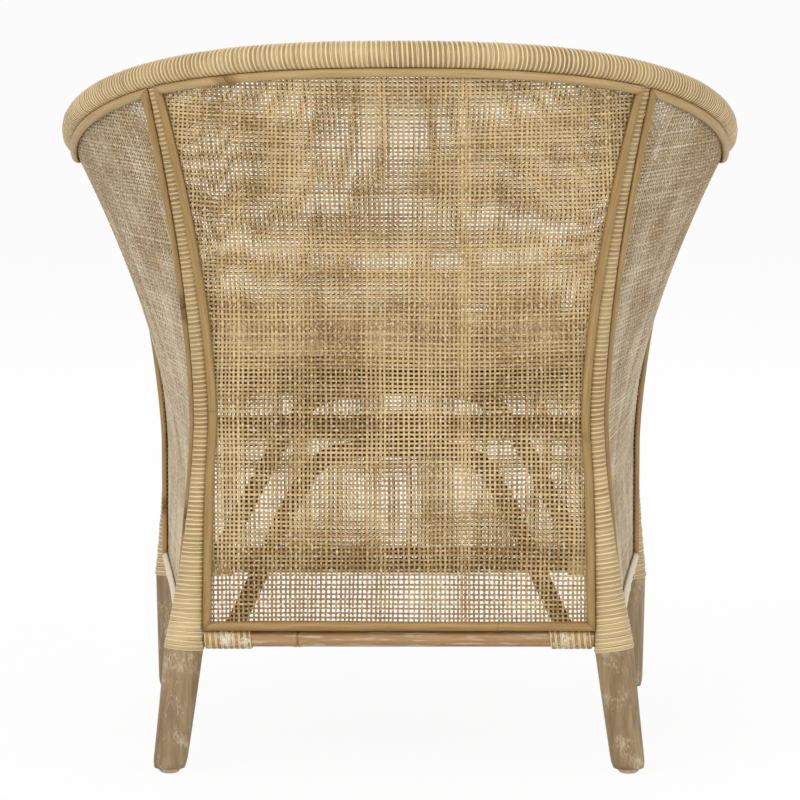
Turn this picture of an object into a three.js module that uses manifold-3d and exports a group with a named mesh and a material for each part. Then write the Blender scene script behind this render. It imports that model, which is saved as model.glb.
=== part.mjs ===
// A rattan tub armchair as it is put together: a bent top rail on four bound posts, woven skins
// outside and inside, half-round trims over their edges, a woven seat and arched braces under it.
// Millimetres, +Z up, the front towards -Y, +X on the sitter's left, origin on the floor under the
// middle of the bounding box.
import * as THREE from "three";
import { mergeVertices } from "three/addons/utils/BufferGeometryUtils.js";
import Module from "manifold-3d";

const wasm = await Module();
wasm.setup();

// Clearance between pieces that touch
const fit = 0.3;

// Top rail, on its axis. Depths run forward from the rail's axis at the middle of the back.
const railHalfWidth = 342;
const armRise = 203.2; // from the seat up to the rail's front ends
const railBackDrop = 112; // from the middle of the back to the widest point
const railDropPower = 1.15;
const railArmDrop = 20; // from the widest point to the front end
const railWideDepth = 315;
const railEndDepth = 648;
const railEndInset = 39.5; // from the widest point in to the front ends
const railRadius = 12.1;
const bindingThickness = 1.6;

// Posts, on their axes: upright at the waist, splayed below it and flared above it
const rearWaistHeight = 365;
const frontWaistHeight = 280;
const sideWaistDrop = 50; // between the posts the sides are upright lower down
const rearFlarePower = 1.64;
const frontFlarePower = 1.48;
const splayPower = 1.3;
const rearTopDepth = 101;
const rearWaistHalfWidth = 202;
const rearWaistDepth = 113;
const rearFootHalfWidth = 238.5;
const rearFootDepth = 85;
const frontTopDepth = 624;
const frontWaistHalfWidth = 248.5;
const frontWaistDepth = 590;
const frontFootHalfWidth = 248;
const frontFootDepth = 586;
const footRadius = 17;
const ankleRadius = 19.8;
const slimRadius = 8.2;
const slimHeight = 320; // the posts are slim from here up
const taperPower = 1.8;
const bindingHem = 2.8; // the post binding reaches this far below the bottom rails

// Glides
const glideRadius = 11.5;
const glideFlatRadius = 6;
const glideHeight = 5.4;
const glideRound = [[0.85, 0.3], [1, 0.75]]; // its round edge, as shares of its radius and height

// Poles between the posts
const bottomRailHeight = 138.5;
const bottomRailRadius = 8.3;
const seatRailHeight = 403;
const seatRailRadius = 13;
const stretcherRadius = 12;
const stretcherGap = 21; // between the seat rails and the stretchers below them

// Arched braces: half widths at the foot, knee, shoulder and crown
const archRadius = 9.5;
const archFootHalfWidth = 172;
const archKneeHalfWidth = 147;
const archKneeRise = 61.5; // above the bottom rails
const archShoulderHalfWidth = 110;
const archShoulderDrop = 55.2; // below the crown
const archCrownHalfWidth = 74;
const archFrontWidening = 1.17; // the front arch is wider by this factor

// Lashings at the ends of the bottom rails
const lashWidth = 5.2;
const lashPitch = 6;
const lashThickness = 1.5;
const lashTurns = 7;

// Woven skins and seat
const skinThickness = 2.5;
const skinOffset = 7; // the outer skins' middle stands this far outside the poles' axes
const deckThickness = 3;
const poleSeat = 0.8; // from the outer cane to the poles behind it
const liningCorner = 30; // the lining turns inside the rear posts over this distance
const caneOpenings = 6; // across an outer skin, in place of the weave's fine ones
const caneOpeningRows = { rear: 7, left: 6, right: 6, front: 3 };
const caneOpenShare = 0.5; // of the openings' spacing

// Half-round trims
const trimWidth = 9.6;
const trimHeight = 5;
const trimMargin = 0.6; // from the poles that the trims run along
const trimSeat = 0.8; // from the cane that the trims cover, which is uneven

// Facets
const poleSides = 10;
const railSpans = 12;
const railSteps = 32;
const archSteps = 16;
const lashSteps = 8;
const skinColumns = 10;
const liningRows = 5;
const trimSteps = 10;
const legSteps = 2;
const deckSideSteps = 4;
const taperSteps = 4;
const flareSteps = 6;

// Searches along the rail and the skins
const railSampleCount = 240;
const halvings = 30;
const edgeStep = 0.02;

// Sizes that follow from those above
const boundRailRadius = railRadius + fit + bindingThickness;
const railEndHalfWidth = railHalfWidth - railEndInset;
const legBottom = glideHeight + fit;
const bindingBottom = bottomRailHeight - bottomRailRadius - bindingHem;
const railEndTaper = (2 * (railHalfWidth - railEndHalfWidth)) / (railEndDepth - railWideDepth);
const railEndReach = railEndDepth + boundRailRadius * Math.sin(Math.atan(railEndTaper));
const middleDepth = (railEndReach - boundRailRadius) / 2;
const tubCentre = middleDepth - railWideDepth;
const slimBoundRadius = slimRadius + fit + bindingThickness;
const trimBase = skinOffset + skinThickness / 2 + trimSeat;
const liningOffset = -(slimBoundRadius + fit + skinThickness / 2);
const liningTrimBase = liningOffset - skinThickness / 2 - trimSeat;
const lashInner = bottomRailRadius / Math.cos(Math.PI / lashSteps) + fit;
const lashOuter = lashInner + lashThickness;
const lashRoom = (lashOuter + fit) / Math.cos(Math.PI / poleSides);
const deckBottom = seatRailHeight + seatRailRadius + fit;
const deckTop = deckBottom + deckThickness;
const railBackHeight = deckTop + armRise + railArmDrop + railBackDrop;
const stretcherHeight = seatRailHeight - seatRailRadius - stretcherGap - stretcherRadius;
const archCrownHeight = stretcherHeight - stretcherRadius - fit - archRadius;
const archKneeHeight = bottomRailHeight + archKneeRise;
const archShoulderHeight = archCrownHeight - archShoulderDrop;
const trimFoot = bottomRailHeight + bottomRailRadius + fit;

const lerp = THREE.MathUtils.lerp;
const clamp = THREE.MathUtils.clamp;
const at = (x, depth, z) => new THREE.Vector3(x, middleDepth - depth, z);

// Finishes
const finishes = {
  peel: new THREE.MeshStandardMaterial({ color: 0xc2a87b, roughness: 0.55, metalness: 0 }),
  cane: new THREE.MeshStandardMaterial({ color: 0xc9ab7c, roughness: 0.65, metalness: 0 }),
  trim: new THREE.MeshStandardMaterial({ color: 0xa88a5e, roughness: 0.6, metalness: 0 }),
  pole: new THREE.MeshStandardMaterial({ color: 0xa78660, roughness: 0.6, metalness: 0 }),
  leg: new THREE.MeshStandardMaterial({ color: 0xa08b6d, roughness: 0.75, metalness: 0 }),
  glide: new THREE.MeshStandardMaterial({ color: 0xd9cdb4, roughness: 0.45, metalness: 0 }),
};

const chair = new THREE.Group();

function addPiece(name, geometry, finish) {
  const mesh = new THREE.Mesh(geometry, finishes[finish]);
  mesh.name = name;
  chair.add(mesh);
}

// Keeps positions only, merges shared vertices and turns the faces outwards.
function closed(geometry) {
  geometry.deleteAttribute("normal");
  geometry.deleteAttribute("uv");
  const merged = mergeVertices(geometry, 1e-4);
  const index = merged.index.array;
  const points = merged.attributes.position;
  const corner = [0, 1, 2].map(() => new THREE.Vector3());
  let volume = 0;
  for (let i = 0; i < index.length; i += 3) {
    corner.forEach((c, k) => c.fromBufferAttribute(points, index[i + k]));
    volume += corner[0].dot(corner[1].cross(corner[2]));
  }
  if (volume < 0) {
    index.reverse();
  }
  return merged;
}

function fromTriangles(points, triangles) {
  const geometry = new THREE.BufferGeometry();
  geometry.setAttribute("position", new THREE.Float32BufferAttribute(points.flatMap((p) => p.toArray()), 3));
  geometry.setIndex(triangles.flat());
  return closed(geometry);
}

function toSolid(geometry) {
  return new wasm.Manifold(new wasm.Mesh({
    numProp: 3,
    vertProperties: Float32Array.from(geometry.attributes.position.array),
    triVerts: Uint32Array.from(geometry.index.array),
  }));
}

// A piece with other pieces' clearance taken out of it. Only its main body is kept, without offcuts.
function cut(geometry, cutters) {
  let solid = toSolid(geometry);
  for (const cutter of cutters) {
    solid = solid.subtract(toSolid(cutter));
  }
  const [body] = solid.decompose().sort((a, b) => b.volume() - a.volume());
  const mesh = body.getMesh();
  const result = new THREE.BufferGeometry();
  result.setAttribute("position", new THREE.Float32BufferAttribute(mesh.vertProperties, 3));
  result.setIndex(Array.from(mesh.triVerts));
  return result;
}

// A closed skin over a row of rings with equally many points, with a flat end at each side
function loft(rings) {
  const n = rings[0].length;
  const points = rings.flat();
  const triangles = [];
  for (let i = 0; i + 1 < rings.length; i++) {
    for (let j = 0; j < n; j++) {
      const a = i * n + j;
      const b = i * n + ((j + 1) % n);
      triangles.push([a, b, b + n], [a, b + n, a + n]);
    }
  }
  const last = (rings.length - 1) * n;
  for (let j = 1; j + 1 < n; j++) {
    triangles.push([0, j + 1, j], [last, last + j, last + j + 1]);
  }
  return fromTriangles(points, triangles);
}

// A hollow skin between two rows of rings, one inside the other, open at both ends
function sleeve(outerRings, innerRings) {
  const n = outerRings[0].length;
  const points = [...outerRings.flat(), ...innerRings.flat()];
  const inner = outerRings.length * n;
  const triangles = [];
  for (let j = 0; j < n; j++) {
    const k = (j + 1) % n;
    for (let i = 0; i + 1 < outerRings.length; i++) {
      const a = i * n + j;
      const b = i * n + k;
      triangles.push([a, b, b + n], [a, b + n, a + n]);
      triangles.push([inner + a, inner + b + n, inner + b], [inner + a, inner + a + n, inner + b + n]);
    }
    const end = (outerRings.length - 1) * n;
    triangles.push([j, inner + j, inner + k], [j, inner + k, k]);
    triangles.push([end + j, end + k, inner + end + k], [end + j, inner + end + k, inner + end + j]);
  }
  return fromTriangles(points, triangles);
}

// A sheet between two grids of points, face[column][row] and back[column][row]. Its diagonals lean
// the same way from both side edges. isOpen tells which of its fields are openings.
function sheet(face, back, isOpen = () => false) {
  const columns = face.length;
  const rows = face[0].length;
  const points = [...face.flat(), ...back.flat()];
  const under = columns * rows;
  const triangles = [];
  const quad = (a, b, c, d, lean) => {
    triangles.push(...(lean ? [[a, b, d], [b, c, d]] : [[a, b, c], [a, c, d]]));
  };
  for (let i = 0; i + 1 < columns; i++) {
    const lean = i < (columns - 1) / 2;
    const next = (i + 1) * rows;
    for (let j = 0; j + 1 < rows; j++) {
      const [a, b, c, d] = [i * rows + j, next + j, next + j + 1, i * rows + j + 1];
      if (isOpen(i, j)) {
        for (const [from, to] of [[b, a], [c, b], [d, c], [a, d]]) {
          quad(from, under + from, under + to, to, false);
        }
        continue;
      }
      quad(a, b, c, d, lean);
      quad(under + d, under + c, under + b, under + a, !lean);
    }
    quad(i * rows, under + i * rows, under + next, next, false);
    quad(next + rows - 1, under + next + rows - 1, under + next - 1, next - 1, false);
  }
  const last = (columns - 1) * rows;
  for (let j = 0; j + 1 < rows; j++) {
    quad(j, j + 1, under + j + 1, under + j, false);
    quad(last + j + 1, last + j, under + last + j, under + last + j + 1, false);
  }
  return fromTriangles(points, triangles);
}

function ringShape(radius, boreRadius = 0) {
  const circle = (r) => Array.from({ length: poleSides }, (_, i) => {
    const turn = (i / poleSides) * 2 * Math.PI;
    return new THREE.Vector2(r * Math.cos(turn), r * Math.sin(turn));
  });
  const shape = new THREE.Shape(circle(radius));
  if (boreRadius) {
    shape.holes.push(new THREE.Path(circle(boreRadius)));
  }
  return shape;
}

function tube(path, steps, radius, boreRadius = 0) {
  const options = { steps, extrudePath: path, bevelEnabled: false };
  return closed(new THREE.ExtrudeGeometry(ringShape(radius, boreRadius), options));
}

const straightPole = (from, to, radius) => tube(new THREE.LineCurve3(from, to), 1, radius);

// The left half of the rail's axis: a quarter of an ellipse round the back, then the arm
function leftRailPoints() {
  const points = [];
  for (let i = 0; i <= railSpans; i++) {
    const turn = (Math.PI / 2) * (i / railSpans);
    const fall = railBackDrop * (1 - Math.cos(turn)) ** railDropPower;
    const depth = railWideDepth * (1 - Math.cos(turn));
    points.push(at(railHalfWidth * Math.sin(turn), depth, railBackHeight - fall));
  }
  const reach = railEndDepth - railWideDepth;
  // The arm starts at the slope that the back ends with.
  const armPower = ((railBackDrop * railDropPower) / railWideDepth) * (reach / railArmDrop);
  for (let i = 1; i <= railSpans; i++) {
    const share = i / railSpans;
    const x = railHalfWidth - (railHalfWidth - railEndHalfWidth) * share ** 2;
    const fall = railBackDrop + railArmDrop * (1 - (1 - share) ** armPower);
    points.push(at(x, railWideDepth + reach * share, railBackHeight - fall));
  }
  return points;
}

const leftRailAxis = new THREE.CatmullRomCurve3(leftRailPoints());
const mirrored = (p) => new THREE.Vector3(-p.x, p.y, p.z);
const railAxis = new THREE.CatmullRomCurve3([
  ...leftRailPoints().slice(1).reverse().map(mirrored),
  ...leftRailPoints(),
]);

// A point of the rail's axis, from -1 at the right end through 0 at the back to 1 at the left end
function railAt(share) {
  const p = leftRailAxis.getPointAt(Math.min(Math.abs(share), 1));
  return share < 0 ? mirrored(p) : p;
}

// The share of the half rail at which its axis lies at a depth
function railShareAtDepth(depth) {
  let low = 0;
  let high = 1;
  for (let i = 0; i < halvings; i++) {
    const middle = (low + high) / 2;
    if (middleDepth - railAt(middle).y < depth) {
      low = middle;
    } else {
      high = middle;
    }
  }
  return low;
}

const rearShare = railShareAtDepth(rearTopDepth);
const frontShare = railShareAtDepth(frontTopDepth);
const railSamples = railAxis.getSpacedPoints(railSampleCount);

const sides = { left: 1, right: -1 };

// A rib stands on foot, is upright at waist and ends at top. Posts are ribs, and so are the skins' uprights.
function postRib(end, side) {
  const s = sides[side];
  if (end === "rear") {
    return {
      foot: at(s * rearFootHalfWidth, rearFootDepth, 0),
      waist: at(s * rearWaistHalfWidth, rearWaistDepth, rearWaistHeight),
      top: railAt(s * rearShare),
      flare: rearFlarePower,
    };
  }
  return {
    foot: at(s * frontFootHalfWidth, frontFootDepth, 0),
    waist: at(s * frontWaistHalfWidth, frontWaistDepth, frontWaistHeight),
    top: railAt(s * frontShare),
    flare: frontFlarePower,
  };
}

function ribAt(rib, z) {
  const rise = z - rib.waist.z;
  const up = rise > 0;
  const span = up ? rib.top.z - rib.waist.z : rib.waist.z;
  const share = (Math.abs(rise) / span) ** (up ? rib.flare : splayPower);
  return rib.waist.clone().lerp(up ? rib.top : rib.foot, share).setZ(z);
}

// Bare radius of a post
function postRadius(z) {
  if (z < bindingBottom) {
    return lerp(footRadius, ankleRadius, (z - legBottom) / (bindingBottom - legBottom));
  }
  const share = clamp((slimHeight - z) / (slimHeight - bindingBottom), 0, 1);
  return lerp(slimRadius, ankleRadius, share ** taperPower);
}

const boundPostRadius = (z) => postRadius(z) + fit + bindingThickness;

function postRing(rib, z, radius) {
  const centre = ribAt(rib, z);
  return Array.from({ length: poleSides }, (_, i) => {
    const turn = (i / poleSides) * 2 * Math.PI;
    return centre.clone().add(new THREE.Vector3(radius * Math.cos(turn), radius * Math.sin(turn), 0));
  });
}

function spaced(from, to, steps) {
  return Array.from({ length: steps + 1 }, (_, i) => lerp(from, to, i / steps));
}

const boundHeights = (rib) => [
  ...spaced(bindingBottom, slimHeight, taperSteps),
  ...spaced(slimHeight, rib.top.z, flareSteps).slice(1),
];

// The room that a bound post takes, with its clearance
function postRoom(rib) {
  return loft(boundHeights(rib).map((z) => postRing(rib, z, boundPostRadius(z) + fit)));
}

const railRoom = tube(railAxis, railSteps, boundRailRadius + fit);
const ends = ["rear", "front"];
const ribs = {};
const rooms = {};
for (const end of ends) {
  for (const side of Object.keys(sides)) {
    ribs[`${end}_${side}`] = postRib(end, side);
    rooms[`${end}_${side}`] = postRoom(ribs[`${end}_${side}`]);
  }
}

function addTopRail() {
  addPiece("top_rail", tube(railAxis, railSteps, railRadius), "pole");
  addPiece("top_rail_binding", tube(railAxis, railSteps, boundRailRadius, railRadius + fit), "peel");
}

function addPost(end, side) {
  const rib = ribs[`${end}_${side}`];
  const heights = boundHeights(rib);
  const legHeights = spaced(legBottom, bindingBottom, legSteps).slice(0, -1);
  const post = loft([...legHeights, ...heights].map((z) => postRing(rib, z, postRadius(z))));
  addPiece(`${end}_post_${side}`, cut(post, [railRoom]), "leg");
  const outer = heights.map((z) => postRing(rib, z, boundPostRadius(z)));
  const inner = heights.map((z) => postRing(rib, z, postRadius(z) + fit));
  addPiece(`${end}_post_binding_${side}`, cut(sleeve(outer, inner), [railRoom]), "peel");
}

function addGlide(end, side) {
  const profile = [
    [0, 0],
    [glideFlatRadius, 0],
    ...glideRound.map(([r, z]) => [glideRadius * r, glideHeight * z]),
    [glideRadius, glideHeight],
    [0, glideHeight],
  ].map(([r, z]) => new THREE.Vector2(r, z));
  const foot = ribAt(ribs[`${end}_${side}`], legBottom);
  const glide = closed(new THREE.LatheGeometry(profile, poleSides));
  glide.rotateX(Math.PI / 2).translate(foot.x, foot.y, 0);
  addPiece(`foot_glide_${end}_${side}`, glide, "glide");
}

// A skin is a row of ribs from one post, u = 0, to the next, u = 1. Its waist sinks by drop in the middle.
function skinBetween(from, to, topAt, drop = 0) {
  return {
    rib: (u) => ({
      foot: from.foot.clone().lerp(to.foot, u),
      waist: from.waist.clone().lerp(to.waist, u).sub(new THREE.Vector3(0, 0, 4 * drop * u * (1 - u))),
      top: topAt(u),
      flare: lerp(from.flare, to.flare, u),
    }),
  };
}

const sideSkin = (side) => skinBetween(ribs[`rear_${side}`], ribs[`front_${side}`],
  (u) => railAt(sides[side] * lerp(rearShare, frontShare, u)), sideWaistDrop);
const skins = {
  rear: skinBetween(ribs.rear_left, ribs.rear_right, (u) => railAt(lerp(rearShare, -rearShare, u))),
  front: skinBetween(ribs.front_left, ribs.front_right,
    (u) => ribs.front_left.top.clone().lerp(ribs.front_right.top, u)),
  left: sideSkin("left"),
  right: sideSkin("right"),
};

// A point of a skin, moved out of the tub by off
function skinPoint(skin, u, z, off = 0) {
  const point = ribAt(skin.rib(u), z);
  const along = ribAt(skin.rib(u + 1e-3), z).sub(ribAt(skin.rib(u - 1e-3), z));
  const upward = ribAt(skin.rib(u), z + 1).sub(ribAt(skin.rib(u), z - 1));
  const normal = along.cross(upward).normalize();
  if (normal.x * point.x + normal.y * (point.y - tubCentre) < 0) {
    normal.negate();
  }
  return point.addScaledVector(normal, off);
}

// The u that lies a distance inside a skin's edge, at u = 0 or u = 1
function insetU(skin, z, distance, fromEnd = false) {
  const edge = fromEnd ? 1 : 0;
  const inward = fromEnd ? -1 : 1;
  const near = ribAt(skin.rib(edge + inward * edgeStep), z);
  const speed = near.distanceTo(ribAt(skin.rib(edge), z)) / edgeStep;
  return edge + (inward * distance) / speed;
}

// The height on a rib at which a point moved out by off comes within a distance of the rail's axis
function heightUnderRail(skin, u, off, distance) {
  let high = skin.rib(u).top.z;
  let low = high - 4 * distance;
  for (let i = 0; i < halvings; i++) {
    const z = (low + high) / 2;
    const point = skinPoint(skin, u, z, off);
    const gap = Math.min(...railSamples.map((p) => p.distanceTo(point)));
    if (gap > distance) {
      low = z;
    } else {
      high = z;
    }
  }
  return low;
}

const skinFoot = bottomRailHeight + lashOuter + fit;

// The upper edges of the outer skins, tucked into the rail or under the seat
const underRail = (skin) => (u) => skin.rib(u).top.z - boundRailRadius / 2;
const caneTops = {
  rear: underRail(skins.rear),
  left: underRail(skins.left),
  right: underRail(skins.right),
  front: () => deckBottom - fit - trimWidth / 2,
};

// The upper edges of the trims on them
const railDistance = boundRailRadius + fit + trimMargin;
const belowRail = (skin) => (u) => heightUnderRail(skin, clamp(u, 0, 1), trimBase, railDistance);
const trimTops = {
  rear: belowRail(skins.rear),
  left: belowRail(skins.left),
  right: belowRail(skins.right),
  front: () => deckBottom - fit,
};

// Distance from a post's axis at which a trim beside it starts
function trimInset(z) {
  return Math.sqrt((boundPostRadius(z) + fit) ** 2 - trimBase ** 2) + trimMargin;
}

// Lines over a row of openings: a sheet's first edge, both edges of each opening, and its last edge
function openingLines(first, from, to, last, count) {
  const pitch = (to - from) / (count - 1 + caneOpenShare);
  const starts = Array.from({ length: count }, (_, i) => from + i * pitch);
  return [first, ...starts.flatMap((start) => [start, start + caneOpenShare * pitch]), last];
}

// Sheet over a skin, tucked into the posts beside it. Its lines leave the trims clear of any opening.
function skinSheet(name, thickness, isOpen) {
  const skin = skins[name];
  const middle = (skinFoot + slimHeight) / 2;
  const tuck = slimBoundRadius / 2;
  const border = trimInset(skinFoot) + trimWidth;
  const edges = [false, true].map((fromEnd) => insetU(skin, middle, tuck, fromEnd));
  const limits = [false, true].map((fromEnd) => insetU(skin, skinFoot, border, fromEnd));
  const rows = caneOpeningRows[name];
  const grid = (off) => openingLines(edges[0], ...limits, edges[1], caneOpenings).map((u) => {
    const openTop = trimTops[name](u) - trimWidth;
    const heights = openingLines(skinFoot, trimFoot + trimWidth, openTop, caneTops[name](u), rows);
    return heights.map((z) => skinPoint(skin, u, z, off));
  });
  return sheet(grid(skinOffset + thickness / 2), grid(skinOffset - thickness / 2), isOpen);
}

const caneRoom = (name) => skinSheet(name, skinThickness + 2 * fit);

function addOuterPanels() {
  const isOpening = (column, row) => column % 2 === 1 && row % 2 === 1;
  const panel = (name) => skinSheet(name, skinThickness, isOpening);
  const { rear_left, rear_right, front_left, front_right } = rooms;
  addPiece("rear_panel", cut(panel("rear"), [rear_left, rear_right, railRoom]), "cane");
  addPiece("side_panel_left", cut(panel("left"), [rear_left, front_left, railRoom]), "cane");
  addPiece("side_panel_right", cut(panel("right"), [rear_right, front_right, railRoom]), "cane");
  addPiece("front_panel", cut(panel("front"), [front_left, front_right]), "cane");
}

// Half-round section: shares of the trim's width and height
const trimProfile = [[0, 0], [0.05, 0.5], [0.28, 0.95], [0.72, 0.95], [0.95, 0.5], [1, 0]];

// The u at which a strip of a trim starts beside a post, near a height
const stripU = (skin, z, across, fromEnd) => insetU(skin, z, trimInset(z) + across, fromEnd);

// Trims that frame an outer skin, mitred at its corners and shaved where they meet the cane or the rail
function frameTrims(name) {
  const skin = skins[name];
  const topAt = trimTops[name];
  const cane = caneRoom(name);
  const strip = (place) => loft(spaced(0, 1, trimSteps).map((share) => trimProfile.map(([w, h]) => {
    const { u, z } = place(share, w * trimWidth);
    return skinPoint(skin, u, z, trimBase + h * trimHeight);
  })));
  const upright = (fromEnd) => strip((share, across) => {
    const edge = fromEnd ? 1 : 0;
    const cornerU = stripU(skin, topAt(edge) - across, across, fromEnd);
    const z = lerp(trimFoot + across + fit, topAt(cornerU) - across - fit, share);
    return { u: stripU(skin, z, across, fromEnd), z };
  });
  const level = (heightAt) => strip((share, across) => {
    const from = stripU(skin, heightAt(0, across), across + fit, false);
    const to = stripU(skin, heightAt(1, across), across + fit, true);
    const u = lerp(from, to, share);
    return { u, z: heightAt(u, across) };
  });
  return {
    first: cut(upright(false), [cane]),
    last: cut(upright(true), [cane]),
    bottom: cut(level((u, across) => trimFoot + across), [cane]),
    top: cut(level((u, across) => topAt(u) - across), [cane, railRoom]),
  };
}

function addTrims() {
  const rear = frameTrims("rear");
  addPiece("rear_trim_left", rear.first, "trim");
  addPiece("rear_trim_right", rear.last, "trim");
  addPiece("rear_trim_bottom", rear.bottom, "trim");
  addPiece("rear_trim_top", rear.top, "trim");
  for (const side of Object.keys(sides)) {
    const trims = frameTrims(side);
    addPiece(`side_trim_rear_${side}`, trims.first, "trim");
    addPiece(`side_trim_front_${side}`, trims.last, "trim");
    addPiece(`side_trim_bottom_${side}`, trims.bottom, "trim");
    addPiece(`side_trim_top_${side}`, trims.top, "trim");
  }
  const front = frameTrims("front");
  addPiece("front_trim_left", front.first, "trim");
  addPiece("front_trim_right", front.last, "trim");
  addPiece("front_trim_bottom", front.bottom, "trim");
  addPiece("front_trim_top", front.top, "trim");
}

// Stations along the lining, from the left arm's front round the back to the right arm's front
function liningStations() {
  const stations = [];
  for (const share of spaced(1, insetU(skins.left, deckTop, liningCorner), skinColumns)) {
    stations.push([skins.left, share]);
  }
  const from = insetU(skins.rear, deckTop, liningCorner);
  for (const share of spaced(from, 1 - from, skinColumns)) {
    stations.push([skins.rear, share]);
  }
  for (const share of spaced(insetU(skins.right, deckTop, liningCorner), 1, skinColumns)) {
    stations.push([skins.right, share]);
  }
  return stations;
}

function addLining() {
  const stations = liningStations();
  const foot = deckTop + fit;
  const innerFace = liningOffset - skinThickness / 2;
  const grid = (off) => stations.map(([skin, u]) => {
    const top = heightUnderRail(skin, u, innerFace, railDistance + skinThickness);
    return spaced(foot, top, liningRows).map((z) => skinPoint(skin, u, z, off));
  });
  addPiece("inner_panel", sheet(grid(innerFace + skinThickness), grid(innerFace)), "cane");
  const strip = (heightAt) => loft(stations.map(([skin, u]) => trimProfile.map(([w, h]) =>
    skinPoint(skin, u, heightAt(skin, u, w * trimWidth), liningTrimBase - h * trimHeight))));
  const top = (skin, u, across) => heightUnderRail(skin, u, liningTrimBase, railDistance) - across;
  addPiece("inner_trim_top", cut(strip(top), [railRoom]), "trim");
  addPiece("inner_trim_seat", strip((skin, u, across) => foot + across), "trim");
  for (const side of Object.keys(sides)) {
    const skin = skins[side];
    const from = foot + trimWidth + fit;
    const to = top(skin, 1, trimWidth) - trimWidth;
    const upright = loft(spaced(from, to, trimSteps).map((z) => trimProfile.map(([w, h]) =>
      skinPoint(skin, insetU(skin, z, w * trimWidth, true), z, liningTrimBase - h * trimHeight))));
    addPiece(`inner_trim_front_${side}`, upright, "trim");
  }
}

// A straight pole along a skin's chord, set in from the outer skin by its own radius
function chordEnds(skin, z, radius) {
  const shift = radius + poleSeat - (skinOffset - skinThickness / 2);
  return [0, 1].map((u) => skinPoint(skin, u, z, -shift).setZ(z));
}

function addBottomRails() {
  const pairs = {
    rear: ["rear_left", "rear_right"],
    front: ["front_left", "front_right"],
    left: ["rear_left", "front_left"],
    right: ["rear_right", "front_right"],
  };
  let leastGap = Infinity;
  for (const [place, [from, to]] of Object.entries(pairs)) {
    const a = ribAt(ribs[from], bottomRailHeight);
    const b = ribAt(ribs[to], bottomRailHeight);
    const rail = cut(straightPole(a, b, bottomRailRadius), [rooms[from], rooms[to]]);
    addPiece(`bottom_rail_${place}`, rail, "pole");
    for (const [near, far, post] of [[a, b, from], [b, a, to]]) {
      const winding = lashing(near, far, ribs[post]);
      const label = ends.includes(place) ? post.split("_")[1] : post.split("_")[0];
      addPiece(`lashing_${place}_${label}`, winding.geometry, "peel");
      leastGap = Math.min(leastGap, winding.leastGap);
    }
  }
  console.log(`lashings: least gap between turns ${leastGap.toFixed(2)} mm`);
}

// A flat strip wound round a bottom rail, from the leaning post at near towards far
function lashing(near, far, rib) {
  const axis = far.clone().sub(near).normalize();
  const outward = new THREE.Vector3(0, 0, 1);
  const across = axis.clone().cross(outward);
  const above = ribAt(rib, bottomRailHeight + lashOuter);
  const below = ribAt(rib, bottomRailHeight - lashOuter);
  const lean = Math.abs(above.sub(below).dot(axis)) / 2;
  const start = boundPostRadius(bottomRailHeight) + lean + 2 * fit + lashWidth / 2;
  const rings = Array.from({ length: lashTurns * lashSteps + 1 }, (_, i) => {
    const turn = (i / lashSteps) * 2 * Math.PI;
    const radial = outward.clone().multiplyScalar(Math.cos(turn)).addScaledVector(across, Math.sin(turn));
    const centre = near.clone().addScaledVector(axis, start + (i / lashSteps) * lashPitch);
    return [[-0.5, lashInner], [0.5, lashInner], [0.5, lashOuter], [-0.5, lashOuter]].map(([w, r]) =>
      centre.clone().addScaledVector(axis, w * lashWidth).addScaledVector(radial, r));
  });
  let leastGap = Infinity;
  for (let i = 0; i + lashSteps < rings.length; i++) {
    for (const p of rings[i]) {
      for (const q of rings[i + lashSteps]) {
        leastGap = Math.min(leastGap, p.distanceTo(q));
      }
    }
  }
  return { geometry: loft(rings), leastGap };
}

function addSeatFrame() {
  const rear = chordEnds(skins.rear, seatRailHeight, seatRailRadius);
  const front = chordEnds(skins.front, seatRailHeight, seatRailRadius);
  const rearRoom = straightPole(...rear, seatRailRadius + fit);
  const frontRoom = straightPole(...front, seatRailRadius + fit);
  const { rear_left, rear_right, front_left, front_right } = rooms;
  addPiece("seat_rail_rear", cut(straightPole(...rear, seatRailRadius), [rear_left, rear_right]), "pole");
  addPiece("seat_rail_front", cut(straightPole(...front, seatRailRadius), [front_left, front_right]), "pole");
  const edge = [];
  for (const side of Object.keys(sides)) {
    const [from, to] = chordEnds(skins[side], seatRailHeight, seatRailRadius);
    from.y = rear[0].y;
    to.y = front[0].y;
    const rail = straightPole(from, to, seatRailRadius);
    const posts = [rooms[`rear_${side}`], rooms[`front_${side}`]];
    addPiece(`seat_rail_${side}`, cut(rail, [rearRoom, frontRoom, ...posts]), "pole");
    edge.push([from, to]);
  }
  const reach = seatRailRadius - 2 * fit;
  const flank = (side) => spaced(0, 1, deckSideSteps).slice(1, -1).map((u) => {
    const under = skinPoint(skins[side], u, deckTop, liningOffset);
    return new THREE.Vector2(under.x, under.y);
  });
  const outline = new THREE.Shape([
    new THREE.Vector2(edge[0][0].x + reach, rear[0].y + reach),
    new THREE.Vector2(edge[1][0].x - reach, rear[0].y + reach),
    ...flank("right"),
    new THREE.Vector2(edge[1][1].x - reach, front[0].y - reach),
    new THREE.Vector2(edge[0][1].x + reach, front[0].y - reach),
    ...flank("left").reverse(),
  ]);
  const deck = closed(new THREE.ExtrudeGeometry(outline, { depth: deckThickness, bevelEnabled: false }));
  deck.translate(0, 0, deckBottom);
  addPiece("seat_deck", cut(deck, Object.values(rooms)), "cane");
  for (const end of ends) {
    const pole = straightPole(...chordEnds(skins[end], stretcherHeight, stretcherRadius), stretcherRadius);
    const posts = [rooms[`${end}_left`], rooms[`${end}_right`]];
    addPiece(`seat_stretcher_${end}`, cut(pole, posts), "pole");
  }
}

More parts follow.
